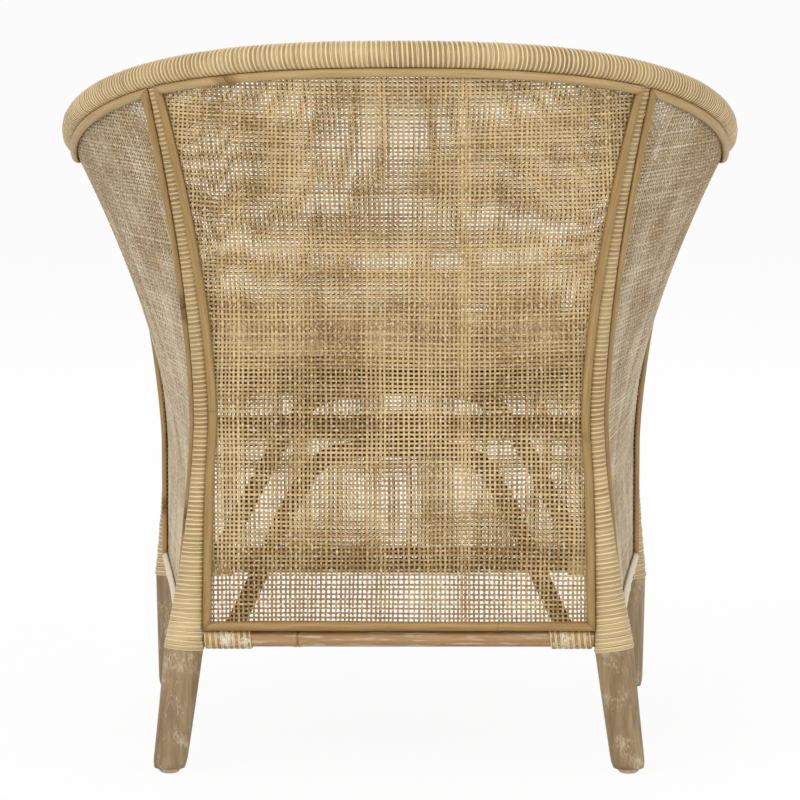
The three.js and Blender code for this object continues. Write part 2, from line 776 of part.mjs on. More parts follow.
// A bent pole behind an outer skin, from the bottom rail up to the stretcher and down again
function addArch(end) {
  const skin = skins[end];
  const wider = end === "front" ? archFrontWidening : 1;
  const shift = archRadius + poleSeat - (skinOffset - skinThickness / 2);
  const half = [
    [archFootHalfWidth * wider, bottomRailHeight + archRadius / 2],
    [archKneeHalfWidth * wider, archKneeHeight],
    [archShoulderHalfWidth * wider, archShoulderHeight],
    [archCrownHalfWidth * wider, archCrownHeight - archRadius],
  ];
  const outline = [
    ...half,
    [0, archCrownHeight],
    ...half.slice().reverse().map(([x, z]) => [-x, z]),
  ];
  const points = outline.map(([x, z]) => {
    const halfSpan = ribAt(skin.rib(0), z).x;
    return skinPoint(skin, (1 - x / halfSpan) / 2, z, -shift).setZ(z);
  });
  const arch = tube(new THREE.CatmullRomCurve3(points), archSteps, archRadius);
  const a = ribAt(ribs[`${end}_left`], bottomRailHeight);
  const b = ribAt(ribs[`${end}_right`], bottomRailHeight);
  const railRoomBelow = straightPole(a, b, lashRoom);
  const posts = [rooms[`${end}_left`], rooms[`${end}_right`]];
  addPiece(`arch_brace_${end}`, cut(arch, [railRoomBelow, caneRoom(end), ...posts]), "pole");
}

addTopRail();
for (const end of ends) {
  for (const side of Object.keys(sides)) {
    addPost(end, side);
    addGlide(end, side);
  }
}
addBottomRails();
addSeatFrame();
addArch("rear");
addArch("front");
addOuterPanels();
addTrims();
addLining();

export default chair;
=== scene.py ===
import math

import bpy
import numpy as np
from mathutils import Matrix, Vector


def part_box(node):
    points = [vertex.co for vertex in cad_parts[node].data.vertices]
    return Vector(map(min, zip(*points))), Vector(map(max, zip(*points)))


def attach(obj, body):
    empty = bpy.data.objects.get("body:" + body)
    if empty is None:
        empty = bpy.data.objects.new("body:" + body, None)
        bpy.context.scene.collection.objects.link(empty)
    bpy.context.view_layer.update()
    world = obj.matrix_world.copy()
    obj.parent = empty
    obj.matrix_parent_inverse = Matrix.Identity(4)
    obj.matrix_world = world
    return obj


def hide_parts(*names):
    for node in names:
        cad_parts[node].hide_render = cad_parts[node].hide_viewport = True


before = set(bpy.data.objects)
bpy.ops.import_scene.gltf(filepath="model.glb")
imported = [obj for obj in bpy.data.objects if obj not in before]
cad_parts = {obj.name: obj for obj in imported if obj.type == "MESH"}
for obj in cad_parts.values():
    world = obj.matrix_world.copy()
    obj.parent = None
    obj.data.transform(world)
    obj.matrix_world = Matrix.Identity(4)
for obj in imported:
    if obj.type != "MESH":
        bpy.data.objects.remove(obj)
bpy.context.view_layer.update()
scene = bpy.context.scene
rng = np.random.default_rng(7)
mm = 0.001

# The chair's lines, in millimetres: depths run forward from the rail at the middle of the back
rail = {"halfWidth": 342.0, "endHalfWidth": 302.5, "backHeight": 754.5, "backDrop": 112.0, "dropPower": 1.15,
        "armDrop": 20.0, "wideDepth": 315.0, "endDepth": 648.0, "coreRadius": 12.1, "boundRadius": 14.0,
        "coreFill": 0.6, "steps": 360, "sides": 24, "samples": 401}
posts = {"rearFlare": 1.64, "frontFlare": 1.48, "splay": 1.3, "sideDrop": 50.0,
         "rearTopDepth": 101.0, "rearWaist": (202.0, 113.0, 365.0), "rearFoot": (238.5, 85.0, 0.0),
         "frontTopDepth": 624.0, "frontWaist": (248.5, 590.0, 280.0), "frontFoot": (248.0, 586.0, 0.0),
         "footRadius": 17.0, "ankleRadius": 19.8, "slimRadius": 8.2, "slimHeight": 320.0, "taper": 1.8,
         "legBottom": 5.7, "bindingBottom": 127.4, "wrap": 1.9}
levels = {"bottomRail": 138.5, "bottomRadius": 8.3, "seatRail": 403.0, "seatRadius": 13.0,
          "stretcher": 357.0, "stretcherRadius": 12.0, "deckTop": 419.3, "deckBottom": 416.3}
skinSizes = {"offset": 7.0, "thickness": 2.5, "lining": -11.65, "fit": 0.3, "poleGap": 0.8}
trims = {"width": 9.6, "height": 5.0, "base": 9.05, "margin": -0.4, "liningBase": -13.7, "foot": 147.1}

endLean = math.atan(2 * (rail["halfWidth"] - rail["endHalfWidth"]) / (rail["endDepth"] - rail["wideDepth"]))
middleDepth = (rail["endDepth"] + rail["boundRadius"] * math.sin(endLean) - rail["boundRadius"]) / 2
tubCentre = middleDepth - rail["wideDepth"]
backFront = ("rear", "front")
hands = ("left", "right")
railClear = rail["boundRadius"] + skinSizes["fit"] + trims["margin"]


def at(x, depth, z):
    return np.stack(np.broadcast_arrays(x, middleDepth - depth, z), -1)


def lerp(a, b, t):
    return a + (b - a) * t


def unit(vectors):
    return vectors / np.linalg.norm(vectors, axis=-1, keepdims=True)


def tangents(path):
    return unit(np.gradient(path, axis=0))


def runAlong(points):  # the length of a line up to each of its points
    return np.concatenate([[0], np.cumsum(np.linalg.norm(np.diff(points, axis=0), axis=1))])


def pointsAt(marks, run, line):
    return np.stack([np.interp(marks, run, line[:, k]) for k in range(3)], -1)


def fullTurn(sides):
    return np.linspace(0, math.tau, sides, endpoint=False)


def leftRail(steps=240):
    turn = np.linspace(0, math.pi / 2, steps)
    ease = 1 - np.cos(turn)
    back = at(rail["halfWidth"] * np.sin(turn), rail["wideDepth"] * ease,
              rail["backHeight"] - rail["backDrop"] * ease ** rail["dropPower"])
    share = np.linspace(0, 1, steps)[1:]
    reach = rail["endDepth"] - rail["wideDepth"]
    armPower = rail["backDrop"] * rail["dropPower"] / rail["wideDepth"] * reach / rail["armDrop"]
    arm = at(rail["halfWidth"] - (rail["halfWidth"] - rail["endHalfWidth"]) * share ** 2,
             rail["wideDepth"] + reach * share,
             rail["backHeight"] - rail["backDrop"] - rail["armDrop"] * (1 - (1 - share) ** armPower))
    points = np.concatenate([back, arm])
    run = runAlong(points)
    return points, run / run[-1]


railPoints, railShares = leftRail()


def railAt(share):  # -1 at the right arm's end, 0 at the back, 1 at the left arm's end
    p = pointsAt(np.abs(share), railShares, railPoints)
    p[..., 0] *= np.where(share < 0, -1, 1)
    return p


def shareAtDepth(depth):
    return float(np.interp(depth, middleDepth - railPoints[:, 1], railShares))


topShares = {end: shareAtDepth(posts[end + "TopDepth"]) for end in backFront}
railSamples = railAt(np.linspace(-1, 1, rail["samples"]))


def postRib(end, side):
    sign = 1 if side == "left" else -1
    foot, waist = posts[end + "Foot"], posts[end + "Waist"]
    return {"foot": at(sign * foot[0], *foot[1:]), "waist": at(sign * waist[0], *waist[1:]),
            "share": sign * topShares[end], "flare": posts[end + "Flare"]}


ribs = {e + "_" + s: postRib(e, s) for e in backFront for s in hands}
skinEnds = {"rear": ("rear_left", "rear_right"), "front": ("front_left", "front_right"),
            "left": ("rear_left", "front_left"), "right": ("rear_right", "front_right")}


def skinAt(skin, u, z):  # u runs from a skin's first rib to its second
    a, b = (ribs[n] for n in skinEnds[skin])
    u, z = np.broadcast_arrays(u, z)
    v = u[..., None]
    if skin == "front":
        top = lerp(railAt(a["share"]), railAt(b["share"]), v)
    else:
        top = railAt(lerp(a["share"], b["share"], u))
    waist = lerp(a["waist"], b["waist"], v)
    low = waist[..., 2] - (4 * posts["sideDrop"] * u * (1 - u) if skin in hands else 0)
    up = z > low
    span = np.where(up, top[..., 2] - low, low)
    power = np.where(up, lerp(a["flare"], b["flare"], u), posts["splay"])
    k = (np.abs(z - low) / span) ** power
    target = np.where(up[..., None], top, lerp(a["foot"], b["foot"], v))
    p = waist + (target - waist) * k[..., None]
    p[..., 2] = z
    return p


def skinNormal(skin, u, z, uStep=1e-3, zStep=1.0):  # out of the tub
    along = skinAt(skin, u + uStep, z) - skinAt(skin, u - uStep, z)
    n = unit(np.cross(along, skinAt(skin, u, z + zStep) - skinAt(skin, u, z - zStep)))
    p = skinAt(skin, u, z)
    inward = n[..., 0] * p[..., 0] + n[..., 1] * (p[..., 1] - tubCentre) < 0
    return np.where(inward[..., None], -n, n)


def skinPoint(skin, u, z, off):
    return skinAt(skin, u, z) + skinNormal(skin, u, z) * np.asarray(off)[..., None]


def insetU(skin, z, distance, fromEnd=False, step=0.02):  # the u that lies a distance inside a skin's edge
    edge, inward = (1.0, -1.0) if fromEnd else (0.0, 1.0)
    near = skinAt(skin, edge + inward * step, z)
    speed = np.linalg.norm(near - skinAt(skin, edge, z), axis=-1) / step
    return edge + inward * distance / speed


# Where a rib, moved out by off, comes within a distance of the rail
def heightUnderRail(skin, u, off, distance, lowest=520.0, halvings=24):
    u = np.clip(u, 0, 1)
    a, b = (ribs[n] for n in skinEnds[skin])
    low = np.full(u.shape, lowest)
    high = railAt(lerp(a["share"], b["share"], u))[..., 2]
    for _ in range(halvings):
        z = (low + high) / 2
        p = skinPoint(skin, u, z, off)
        gap = np.linalg.norm(p[..., None, :] - railSamples, axis=-1).min(-1)
        low, high = np.where(gap > distance, z, low), np.where(gap > distance, high, z)
    return low


def postRadius(z):
    foot, ankle = posts["legBottom"], posts["bindingBottom"]
    leg = lerp(posts["footRadius"], posts["ankleRadius"], (z - foot) / (ankle - foot))
    left = np.clip((posts["slimHeight"] - z) / (posts["slimHeight"] - ankle), 0, 1)
    return np.where(z < ankle, leg, lerp(posts["slimRadius"], posts["ankleRadius"], left ** posts["taper"]))


def boundRadius(z):
    return postRadius(z) + posts["wrap"]


def postEdge(name):  # a post's u on the side skin
    return 0.0 if name.startswith("rear") else 1.0


def postAxis(name, z):
    return skinAt(name.split("_")[1], postEdge(name), z)


# Meshes
def tint(*values):  # from the 0 to 255 values of a picture
    shares = [v / 255 for v in values]
    return tuple(s / 12.92 if s <= 0.04045 else ((s + 0.055) / 1.055) ** 2.4 for s in shares) + (1,)


def link(name, data):
    made = bpy.data.objects.new(name, data)
    scene.collection.objects.link(made)
    return made


def finishPiece(piece, material, slot, *cadNodes):
    if material:  # woven and wound pieces have theirs from their node tree
        piece.data.materials.clear()
        piece.data.materials.append(material)
    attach(piece, "root")
    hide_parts(*cadNodes)


def store(mesh, fields):  # values at a mesh's points
    for key, value in fields.items():
        value = np.asarray(value, np.float32)
        kind, slot = ("FLOAT_VECTOR", "vector") if value.ndim == 2 else ("FLOAT", "value")
        mesh.attributes.new(key, kind, "POINT").data.foreach_set(slot, value.ravel())


def loft(name, rings, ring=None):  # rings: steps x points x 3, in millimetres
    rings = np.asarray(rings) * mm
    steps, n = rings.shape[:2]
    along = runAlong(rings.mean(1))
    faces, uv = [], []
    for i in range(steps - 1):
        for j in range(n):
            k = (j + 1) % n
            faces.append((i * n + j, i * n + k, (i + 1) * n + k, (i + 1) * n + j))
            v0, v1 = j / n, (j + 1) / n
            uv += [(along[i], v0), (along[i], v1), (along[i + 1], v1), (along[i + 1], v0)]
    for base, a in ((0, along[0]), ((steps - 1) * n, along[-1])):
        cap = [base + j for j in range(n)]
        faces.append(tuple(cap[::-1] if base == 0 else cap))
        uv += [(a, j / n) for j in range(n)]
    mesh = bpy.data.meshes.new(name)
    mesh.from_pydata(rings.reshape(-1, 3).tolist(), [], faces)
    layer = mesh.uv_layers.new(name="grain")
    layer.data.foreach_set("uv", np.asarray(uv, np.float32).ravel())
    if ring is not None:
        store(mesh, {"ring": np.ravel(ring)})
    mesh.polygons.foreach_set("use_smooth", [True] * (len(faces) - 2) + [False, False])
    mesh.update()
    volume = sum(p.center.dot(p.normal) * p.area for p in mesh.polygons)
    if volume < 0:
        mesh.flip_normals()
    return link(name, mesh)


def ringsAlong(path, radius, sides, up=(0, 0, 1)):  # round sections square to a path
    along = tangents(path)
    side = unit(np.cross(along, up))
    top = np.cross(side, along)
    turn = fullTurn(sides)[:, None]
    radius = np.broadcast_to(radius, len(path))[:, None, None]
    return path[:, None] + radius * (np.cos(turn) * side[:, None] + np.sin(turn) * top[:, None])


def wires(name, points, runs, fields):  # open lines with values at their points
    mesh = bpy.data.meshes.new(name)
    edges = [(a + i, a + i + 1) for a, count in runs for i in range(count - 1)]
    mesh.from_pydata((np.asarray(points) * mm).tolist(), edges, [])
    store(mesh, fields)
    return link(name, mesh)


# Node trees
def newGroup(name, kind, inputs, outputs):
    tree = bpy.data.node_groups.new(name, kind)
    for way, sockets in (("INPUT", inputs), ("OUTPUT", outputs)):
        for key, valueKind in sockets.items():
            tree.interface.new_socket(key, in_out=way, socket_type="NodeSocket" + valueKind)
    return tree, tree.nodes.new("NodeGroupInput").outputs, tree.nodes.new("NodeGroupOutput").inputs


def addNode(tree, kind, values=None, **settings):
    node = tree.nodes.new(kind)
    for key, value in settings.items():
        setattr(node, key, value)
    for key, value in (values or {}).items():
        if isinstance(value, bpy.types.NodeSocket):
            tree.links.new(value, node.inputs[key])
        else:
            node.inputs[key].default_value = value
    return node


def socket(tree, kind, values=None, **settings):  # a new node's first output
    return addNode(tree, kind, values, **settings).outputs[0]


def calc(tree, operation, a, b):
    return socket(tree, "ShaderNodeMath", {0: a, 1: b}, operation=operation)


def scaled(tree, vector, scale):
    return socket(tree, "ShaderNodeVectorMath", {0: vector, "Scale": scale}, operation="SCALE")


def stretched(tree, vector, scales):
    return socket(tree, "ShaderNodeVectorMath", {0: vector, 1: scales}, operation="MULTIPLY")


# Geometry Nodes
def fieldNode(tree, name, kind="FLOAT"):
    node = addNode(tree, "GeometryNodeInputNamedAttribute", {"Name": name}, data_type=kind)
    return node.outputs["Attribute"]


def endTree(tree, geometry, smooth, inp, out):
    real = socket(tree, "GeometryNodeRealizeInstances", {"Geometry": geometry})
    shaded = socket(tree, "GeometryNodeSetShadeSmooth", {"Geometry": real, "Shade Smooth": smooth})
    done = socket(tree, "GeometryNodeSetMaterial", {"Geometry": shaded, "Material": inp["Finish"]})
    tree.links.new(done, out["Geometry"])


def runTree(piece, tree, values):
    modifier = piece.modifiers.new(tree.name, "NODES")
    modifier.node_group = tree
    for item in tree.interface.items_tree:
        if item.name in values:
            modifier[item.identifier] = values[item.name]
    depsgraph = bpy.context.evaluated_depsgraph_get()
    solved = piece.evaluated_get(depsgraph)
    made = bpy.data.meshes.new_from_object(solved, preserve_all_data_layers=True, depsgraph=depsgraph)
    wire = piece.data
    piece.modifiers.remove(modifier)
    piece.data = made
    made.name = piece.name
    bpy.data.meshes.remove(wire)
    return piece


def strandTree():  # flat strands along lines, lifted over and under each other
    inputs = {"Geometry": "Geometry", "Strand Width": "Float", "Strand Thickness": "Float", "Wave": "Float",
              "Finish": "Material"}
    tree, inp, out = newGroup("flatStrands", "GeometryNodeTree", inputs, {"Geometry": "Geometry"})
    face = fieldNode(tree, "face", "FLOAT_VECTOR")
    lift = scaled(tree, face, calc(tree, "MULTIPLY", fieldNode(tree, "over"), inp["Wave"]))
    placed = socket(tree, "GeometryNodeSetPosition", {"Geometry": inp["Geometry"], "Offset": lift})
    curve = socket(tree, "GeometryNodeMeshToCurve", {"Mesh": placed})
    turned = socket(tree, "GeometryNodeSetCurveNormal", {"Curve": curve, "Normal": face}, mode="FREE")
    size = {"Width": inp["Strand Thickness"], "Height": inp["Strand Width"]}
    section = socket(tree, "GeometryNodeCurvePrimitiveQuadrilateral", size)
    breadth = fieldNode(tree, "breadth")
    sweep = {"Curve": turned, "Profile Curve": section, "Scale": breadth, "Fill Caps": True}
    swept = socket(tree, "GeometryNodeCurveToMesh", sweep)
    endTree(tree, swept, False, inp, out)
    return tree


def windingTree():  # turns of peel along a line, each with its own lean, girth and tone
    inputs = {"Geometry": "Geometry", "Pitch": "Float", "Turn": "Object", "Slant": "Float",
              "Unevenness": "Float", "Seed": "Int", "Finish": "Material"}
    tree, inp, out = newGroup("woundPeel", "GeometryNodeTree", inputs, {"Geometry": "Geometry"})

    def chance(low, high, shift):
        seed = calc(tree, "ADD", inp["Seed"], shift)
        return addNode(tree, "FunctionNodeRandomValue", {2: low, 3: high, "Seed": seed}).outputs[1]

    face = fieldNode(tree, "face", "FLOAT_VECTOR")
    curve = socket(tree, "GeometryNodeMeshToCurve", {"Mesh": inp["Geometry"]})
    steps = {"Curve": curve, "Length": inp["Pitch"]}
    spaced = socket(tree, "GeometryNodeResampleCurve", steps, mode="LENGTH")
    turned = socket(tree, "GeometryNodeSetCurveNormal", {"Curve": spaced, "Normal": face}, mode="FREE")
    tangent = socket(tree, "GeometryNodeInputTangent")
    axes = socket(tree, "FunctionNodeAxesToRotation", {"Primary Axis": tangent, "Secondary Axis": face},
                  primary_axis="Z", secondary_axis="X")
    back = calc(tree, "MULTIPLY", inp["Slant"], -1.0)
    leans = {"X": chance(back, inp["Slant"], 1), "Y": chance(back, inp["Slant"], 2)}
    tilt = socket(tree, "FunctionNodeEulerToRotation", {"Euler": socket(tree, "ShaderNodeCombineXYZ", leans)})
    rotated = socket(tree, "FunctionNodeRotateRotation", {"Rotation": axes, "Rotate By": tilt},
                     rotation_space="LOCAL")
    least = calc(tree, "SUBTRACT", 1.0, inp["Unevenness"])
    girth = calc(tree, "MULTIPLY", fieldNode(tree, "girth"), chance(least, 1.0, 3))
    size = socket(tree, "ShaderNodeCombineXYZ", {"X": girth, "Y": girth, "Z": 1.0})
    shape = addNode(tree, "GeometryNodeObjectInfo", {"Object": inp["Turn"]}).outputs["Geometry"]
    spots = {"Points": turned, "Rotation": rotated, "Scale": size, "Instance": shape}
    turns = socket(tree, "GeometryNodeInstanceOnPoints", spots)
    tone = {"Geometry": turns, "Name": "tone", "Value": chance(0.0, 1.0, 4)}
    toned = socket(tree, "GeometryNodeStoreNamedAttribute", tone, domain="INSTANCE")
    endTree(tree, toned, True, inp, out)
    return tree


strands = strandTree()
windings = windingTree()


# Shader groups
def mapRange(tree, value, low, high, toLow=0.0, toHigh=1.0):
    values = {"Value": value, "From Min": low, "From Max": high, "To Min": toLow, "To Max": toHigh}
    return socket(tree, "ShaderNodeMapRange", values)


def mixColour(tree, factor, a, b):
    return addNode(tree, "ShaderNodeMix", {0: factor, 6: a, 7: b}, data_type="RGBA").outputs[2]


def cover(tree, colour, top, mask, toLow, toHigh, low=0.0, high=1.0):
    return mixColour(tree, mapRange(tree, mask, low, high, toLow, toHigh), colour, top)


def noise(tree, place, scale, detail, roughness=0.5):
    values = {"Vector": place, "Scale": scale, "Detail": detail, "Roughness": roughness}
    return socket(tree, "ShaderNodeTexNoise", values)


def fibreGroup():  # long fibres: a streak value that changes slowly along and quickly across
    inputs = {"Place": "Vector", "Stretch": "Vector", "Contrast": "Float"}
    tree, inp, out = newGroup("rattanFibre", "ShaderNodeTree", inputs, {"Streak": "Float", "Blotch": "Float"})
    fine = stretched(tree, inp["Place"], inp["Stretch"])
    half = calc(tree, "MULTIPLY", inp["Contrast"], 0.5)
    streak = mapRange(tree, noise(tree, fine, 1, 4.0, 0.6),
                      calc(tree, "SUBTRACT", 0.5, half), calc(tree, "ADD", 0.5, half))
    broad = scaled(tree, fine, 0.17)
    tree.links.new(streak, out["Streak"])
    tree.links.new(mapRange(tree, noise(tree, broad, 1, 2.0), 0.3, 0.7), out["Blotch"])
    return tree


def limeGroup():  # rubbed lime wash: patches broken up by fine flecks
    inputs = {"Place": "Vector", "Patch Scale": "Float", "Fleck Stretch": "Vector", "Cover": "Float"}
    tree, inp, out = newGroup("limeWash", "ShaderNodeTree", inputs, {"Mask": "Float"})
    patch = noise(tree, inp["Place"], inp["Patch Scale"], 3.0)
    fleck = noise(tree, stretched(tree, inp["Place"], inp["Fleck Stretch"]), 1.0, 5.0, 0.7)
    raised = calc(tree, "ADD", calc(tree, "ADD", patch, fleck), inp["Cover"])
    tree.links.new(mapRange(tree, raised, 1.3, 1.55), out["Mask"])
    return tree


fibre = fibreGroup()
lime = limeGroup()


# Finishes
def freshTree(owner):
    owner.use_nodes = True
    owner.node_tree.nodes.clear()
    return owner.node_tree


def newMaterial(name):
    material = bpy.data.materials.new(name)
    return material, freshTree(material)


def surface(tree, specular, colour, roughness, **more):
    values = {"Specular IOR Level": specular, "Base Color": colour, "Roughness": roughness, **more}
    addNode(tree, "ShaderNodeOutputMaterial", {0: socket(tree, "ShaderNodeBsdfPrincipled", values)})


def objectPlace(tree):
    return addNode(tree, "ShaderNodeTexCoord").outputs["Object"]


def heightOf(tree):
    return addNode(tree, "ShaderNodeSeparateXYZ", {"Vector": objectPlace(tree)}).outputs["Z"]


def grainPlace(tree):
    return socket(tree, "ShaderNodeUVMap", uv_map="grain")


def field(tree, name):
    return addNode(tree, "ShaderNodeAttribute", attribute_name=name).outputs["Fac"]


def grainOf(tree, place, stretch, contrast):
    values = {"Place": place, "Stretch": stretch, "Contrast": contrast}
    grain = addNode(tree, "ShaderNodeGroup", values, node_tree=fibre)
    return grain.outputs["Streak"], grain.outputs["Blotch"]


def washOf(tree, place, patchScale, fleckStretch, amount):
    values = {"Place": place, "Patch Scale": patchScale, "Fleck Stretch": fleckStretch, "Cover": amount}
    return socket(tree, "ShaderNodeGroup", values, node_tree=lime)


def bump(tree, height, strength, distance):
    return socket(tree, "ShaderNodeBump", {"Strength": strength, "Distance": distance, "Height": height})


def shades(**colours):
    return {key: tint(*colour) for key, colour in colours.items()}


caneLook = shades(brown=(144, 113, 66), straw=(205, 177, 126), pale=(240, 222, 184))
greyCaneLook = shades(brown=(164, 138, 98), straw=(220, 206, 177), pale=(244, 235, 216))


def caneFinish(name, look, low=0.0, high=0.0):  # low and high shift the tone near the foot and near the rail, painted shade where they are negative
    material, tree = newMaterial(name)
    patch = noise(tree, objectPlace(tree), 16.0, 2.0)
    speck = noise(tree, objectPlace(tree), 420.0, 2.0)
    height = heightOf(tree)
    tone = field(tree, "tone")
    for mask, *limits in ((patch, 0.35, 0.65, -0.3, 0.3), (height, 0.16, 0.27, low, 0.0),
                          (height, 0.42, 0.62, 0.0, high)):
        tone = calc(tree, "ADD", tone, mapRange(tree, mask, *limits))
    colour = mixColour(tree, tone, look["brown"], look["straw"])
    colour = cover(tree, colour, look["pale"], speck, 0, 0.75, 0.52, 0.72)
    surface(tree, 0.35, colour, mapRange(tree, speck, 0.3, 0.7, 0.5, 0.72),
            Normal=bump(tree, speck, 0.3, 0.0004))
    return material


peelLook = shades(dark=(138, 108, 62), mid=(172, 144, 96), pale=(204, 178, 128), edge=(246, 224, 178),
                  chalk=(240, 229, 206))


def peelFinish(name, look, chalk=0.0, heightShade=0.0):
    material, tree = newMaterial(name)
    patch = noise(tree, objectPlace(tree), 9.0, 3.0)
    tone = calc(tree, "ADD", mapRange(tree, field(tree, "tone"), 0, 1, 0.36, 0.64),
                mapRange(tree, patch, 0.35, 0.65, -0.25, 0.25))
    streak, blotch = grainOf(tree, objectPlace(tree), (420.0, 420.0, 420.0), 0.5)
    colour = cover(tree, look["dark"], look["mid"], tone, 0, 1, 0, 0.6)
    colour = cover(tree, colour, look["pale"], tone, 0, 0.9, 0.5, 1)
    colour = cover(tree, colour, look["dark"], streak, 0, 0.3)
    colour = cover(tree, colour, look["dark"], blotch, 0, 0.5, 0.8, 1)
    # Pale edges of each turn: lime left in the grooves, and a painted highlight along the edges
    colour = cover(tree, colour, look["edge"], field(tree, "edge"), 0, 0.92, 0.25, 0.75)
    if heightShade:  # painted light and shade: paler at the ankle, darker above it
        colour = cover(tree, colour, look["edge"], heightOf(tree), heightShade, 0, 0.14, 0.26)
        colour = cover(tree, colour, look["dark"], heightOf(tree), 0, heightShade, 0.26, 0.4)
    if chalk:
        wash = washOf(tree, objectPlace(tree), 90.0, (500.0, 500.0, 500.0), chalk)
        colour = mixColour(tree, wash, colour, look["chalk"])
    surface(tree, 0.4, colour, mapRange(tree, streak, 0, 1, 0.42, 0.62),
            Normal=bump(tree, streak, 0.25, 0.0005))
    return material


trimLook = shades(dark=(140, 108, 62), mid=(182, 152, 100), pale=(212, 186, 136))
oliveTrimLook = shades(dark=(108, 78, 36), mid=(164, 133, 79), pale=(196, 167, 108))
tanTrimLook = shades(dark=(112, 76, 34), mid=(168, 131, 76), pale=(200, 166, 108))
poleLook = shades(dark=(126, 88, 50), mid=(182, 143, 96), pale=(204, 170, 124))
# Seat rails, stretchers, arch braces and the front bottom rail get a darker brown: painted shade for the dim
# inside of the base
shadedPoleLook = shades(dark=(70, 44, 22), mid=(112, 78, 44), pale=(140, 104, 64))
trimChalk = tint(231, 219, 196)


def trimFinish(name, look, chalk=0.0):
    material, tree = newMaterial(name)
    streak, blotch = grainOf(tree, grainPlace(tree), (22.0, 9.0, 1.0), 0.7)
    colour = mixColour(tree, blotch, look["mid"], look["pale"])
    colour = cover(tree, colour, look["dark"], streak, 0.75, 0)
    # ring darkens knots and butt joints, and paints shade along the trims' lower sides
    colour = cover(tree, colour, look["dark"], field(tree, "ring"), 0, 0.8)
    if chalk:
        wash = washOf(tree, grainPlace(tree), 10.0, (30.0, 9.0, 1.0), chalk)
        colour = cover(tree, colour, trimChalk, wash, 0, 0.85)
    surface(tree, 0.4, colour, mapRange(tree, streak, 0, 1, 0.6, 0.42),
            Normal=bump(tree, streak, 0.2, 0.0006))
    return material


legLook = shades(dark=(98, 72, 42), mid=(150, 126, 92), pale=(192, 169, 134), lime=(218, 201, 170))


def legFinish(name, look):
    material, tree = newMaterial(name)
    streak, blotch = grainOf(tree, objectPlace(tree), (230.0, 230.0, 26.0), 0.6)
    wash = washOf(tree, objectPlace(tree), 40.0, (640.0, 640.0, 220.0), 0.235)
    colour = mixColour(tree, blotch, look["mid"], look["pale"])
    colour = cover(tree, colour, look["dark"], streak, 0.7, 0)
    colour = cover(tree, colour, look["lime"], wash, 0, 0.75)
    surface(tree, 0.3, colour, mapRange(tree, wash, 0, 1, 0.6, 0.8),
            Normal=bump(tree, streak, 0.3, 0.0006))
    return material


glideLook = shades(pale=(212, 197, 168), scuffed=(178, 160, 130))


def glideFinish(name, look):
    material, tree = newMaterial(name)
    scuff = noise(tree, objectPlace(tree), 260.0, 3.0)
    colour = cover(tree, look["pale"], look["scuffed"], scuff, 0, 1, 0.4, 0.7)
    surface(tree, 0.45, colour, mapRange(tree, scuff, 0.3, 0.7, 0.4, 0.6))
    return material


cane = caneFinish("wovenCane", caneLook, low=-0.4)
greyCane = caneFinish("limedCane", greyCaneLook, high=-0.5)
peel = peelFinish("rattanPeel", peelLook)
agedPeel = peelFinish("agedPeel", peelLook, heightShade=0.24)
limedPeel = peelFinish("limedPeel", peelLook, chalk=0.3)
split = trimFinish("splitRattan", trimLook)
tanSplit = trimFinish("tanRattan", tanTrimLook)
oliveSplit = trimFinish("oliveRattan", oliveTrimLook)
limedSplit = trimFinish("limedRattan", trimLook, 0.75)
pole = trimFinish("brownPole", poleLook, 0.28)
limedPole = trimFinish("limedPole", poleLook, 0.75)
shadedPole = trimFinish("darkPole", shadedPoleLook)
limedLeg = legFinish("limedLeg", legLook)
paleGlide = glideFinish("paleGlide", glideLook)
print("finishes made")

# Woven cane: square weave of flat strands, laid square to the skin and cut off under the trims
weave = {"pitch": 4.7, "width": 2.2, "thickness": 0.5, "wave": 0.4, "toneSpread": 0.21, "shift": 0.17,
         "wander": 0.45, "drift": 1.1, "underTrim": 0.15, "bendLengths": (90, 240), "driftLengths": (40, 170)}
strandSpread = {"tone": 0.55, "breadth": 0.1, "narrowest": 0.75, "widest": 1.2, "fewest": 3}


def wanderField(a, b, waves=5):  # slow bends that neighbouring strands share
    bend = np.zeros(np.broadcast(a, b).shape)
    for _ in range(waves):
        turn = rng.uniform(0, math.pi)
        length, start = rng.uniform(*weave["bendLengths"]), rng.uniform(0, math.tau)
        bend = bend + np.sin(math.tau * (a * math.cos(turn) + b * math.sin(turn)) / length + start)
    return bend * weave["wander"] / math.sqrt(waves / 2)


def drift(line, waves=4):  # closer and wider spacing from strand to strand
    bend = np.zeros(len(line))
    for _ in range(waves):
        length, start = rng.uniform(*weave["driftLengths"]), rng.uniform(0, math.tau)
        bend = bend + np.sin(math.tau * line / length + start)
    return weave["shift"] * rng.standard_normal(len(line)) + bend * weave["drift"] / math.sqrt(waves / 2)


def strandSet(name, points, normals, mask, across, finish, sizes):
    parity = 1.0 - 2.0 * (np.indices(mask.shape).sum(0) % 2)
    if across:
        points, normals, mask, parity = (np.swapaxes(a, 0, 1) for a in (points, normals, mask, -parity))
    lines = len(mask)
    tone = np.clip(strandSpread["tone"] + sizes["toneSpread"] * rng.standard_normal(lines), 0, 1)
    breadth = np.clip(1 + strandSpread["breadth"] * rng.standard_normal(lines),
                      strandSpread["narrowest"], strandSpread["widest"])
    line, spot, runs = [], [], []
    for i in range(lines):
        inside = np.flatnonzero(mask[i])
        for part in np.split(inside, np.flatnonzero(np.diff(inside) > 1) + 1):
            if len(part) >= strandSpread["fewest"]:
                runs.append((len(line), len(part)))
                line += [i] * len(part)
                spot += part.tolist()
    fields = {"over": parity[line, spot], "tone": tone[line], "breadth": breadth[line],
              "face": normals[line, spot]}
    piece = wires(name, points[line, spot], runs, fields)
    return runTree(piece, strands, {"Strand Width": sizes["width"] * mm, "Wave": sizes["wave"] * mm,
                                    "Strand Thickness": sizes["thickness"] * mm, "Finish": finish})


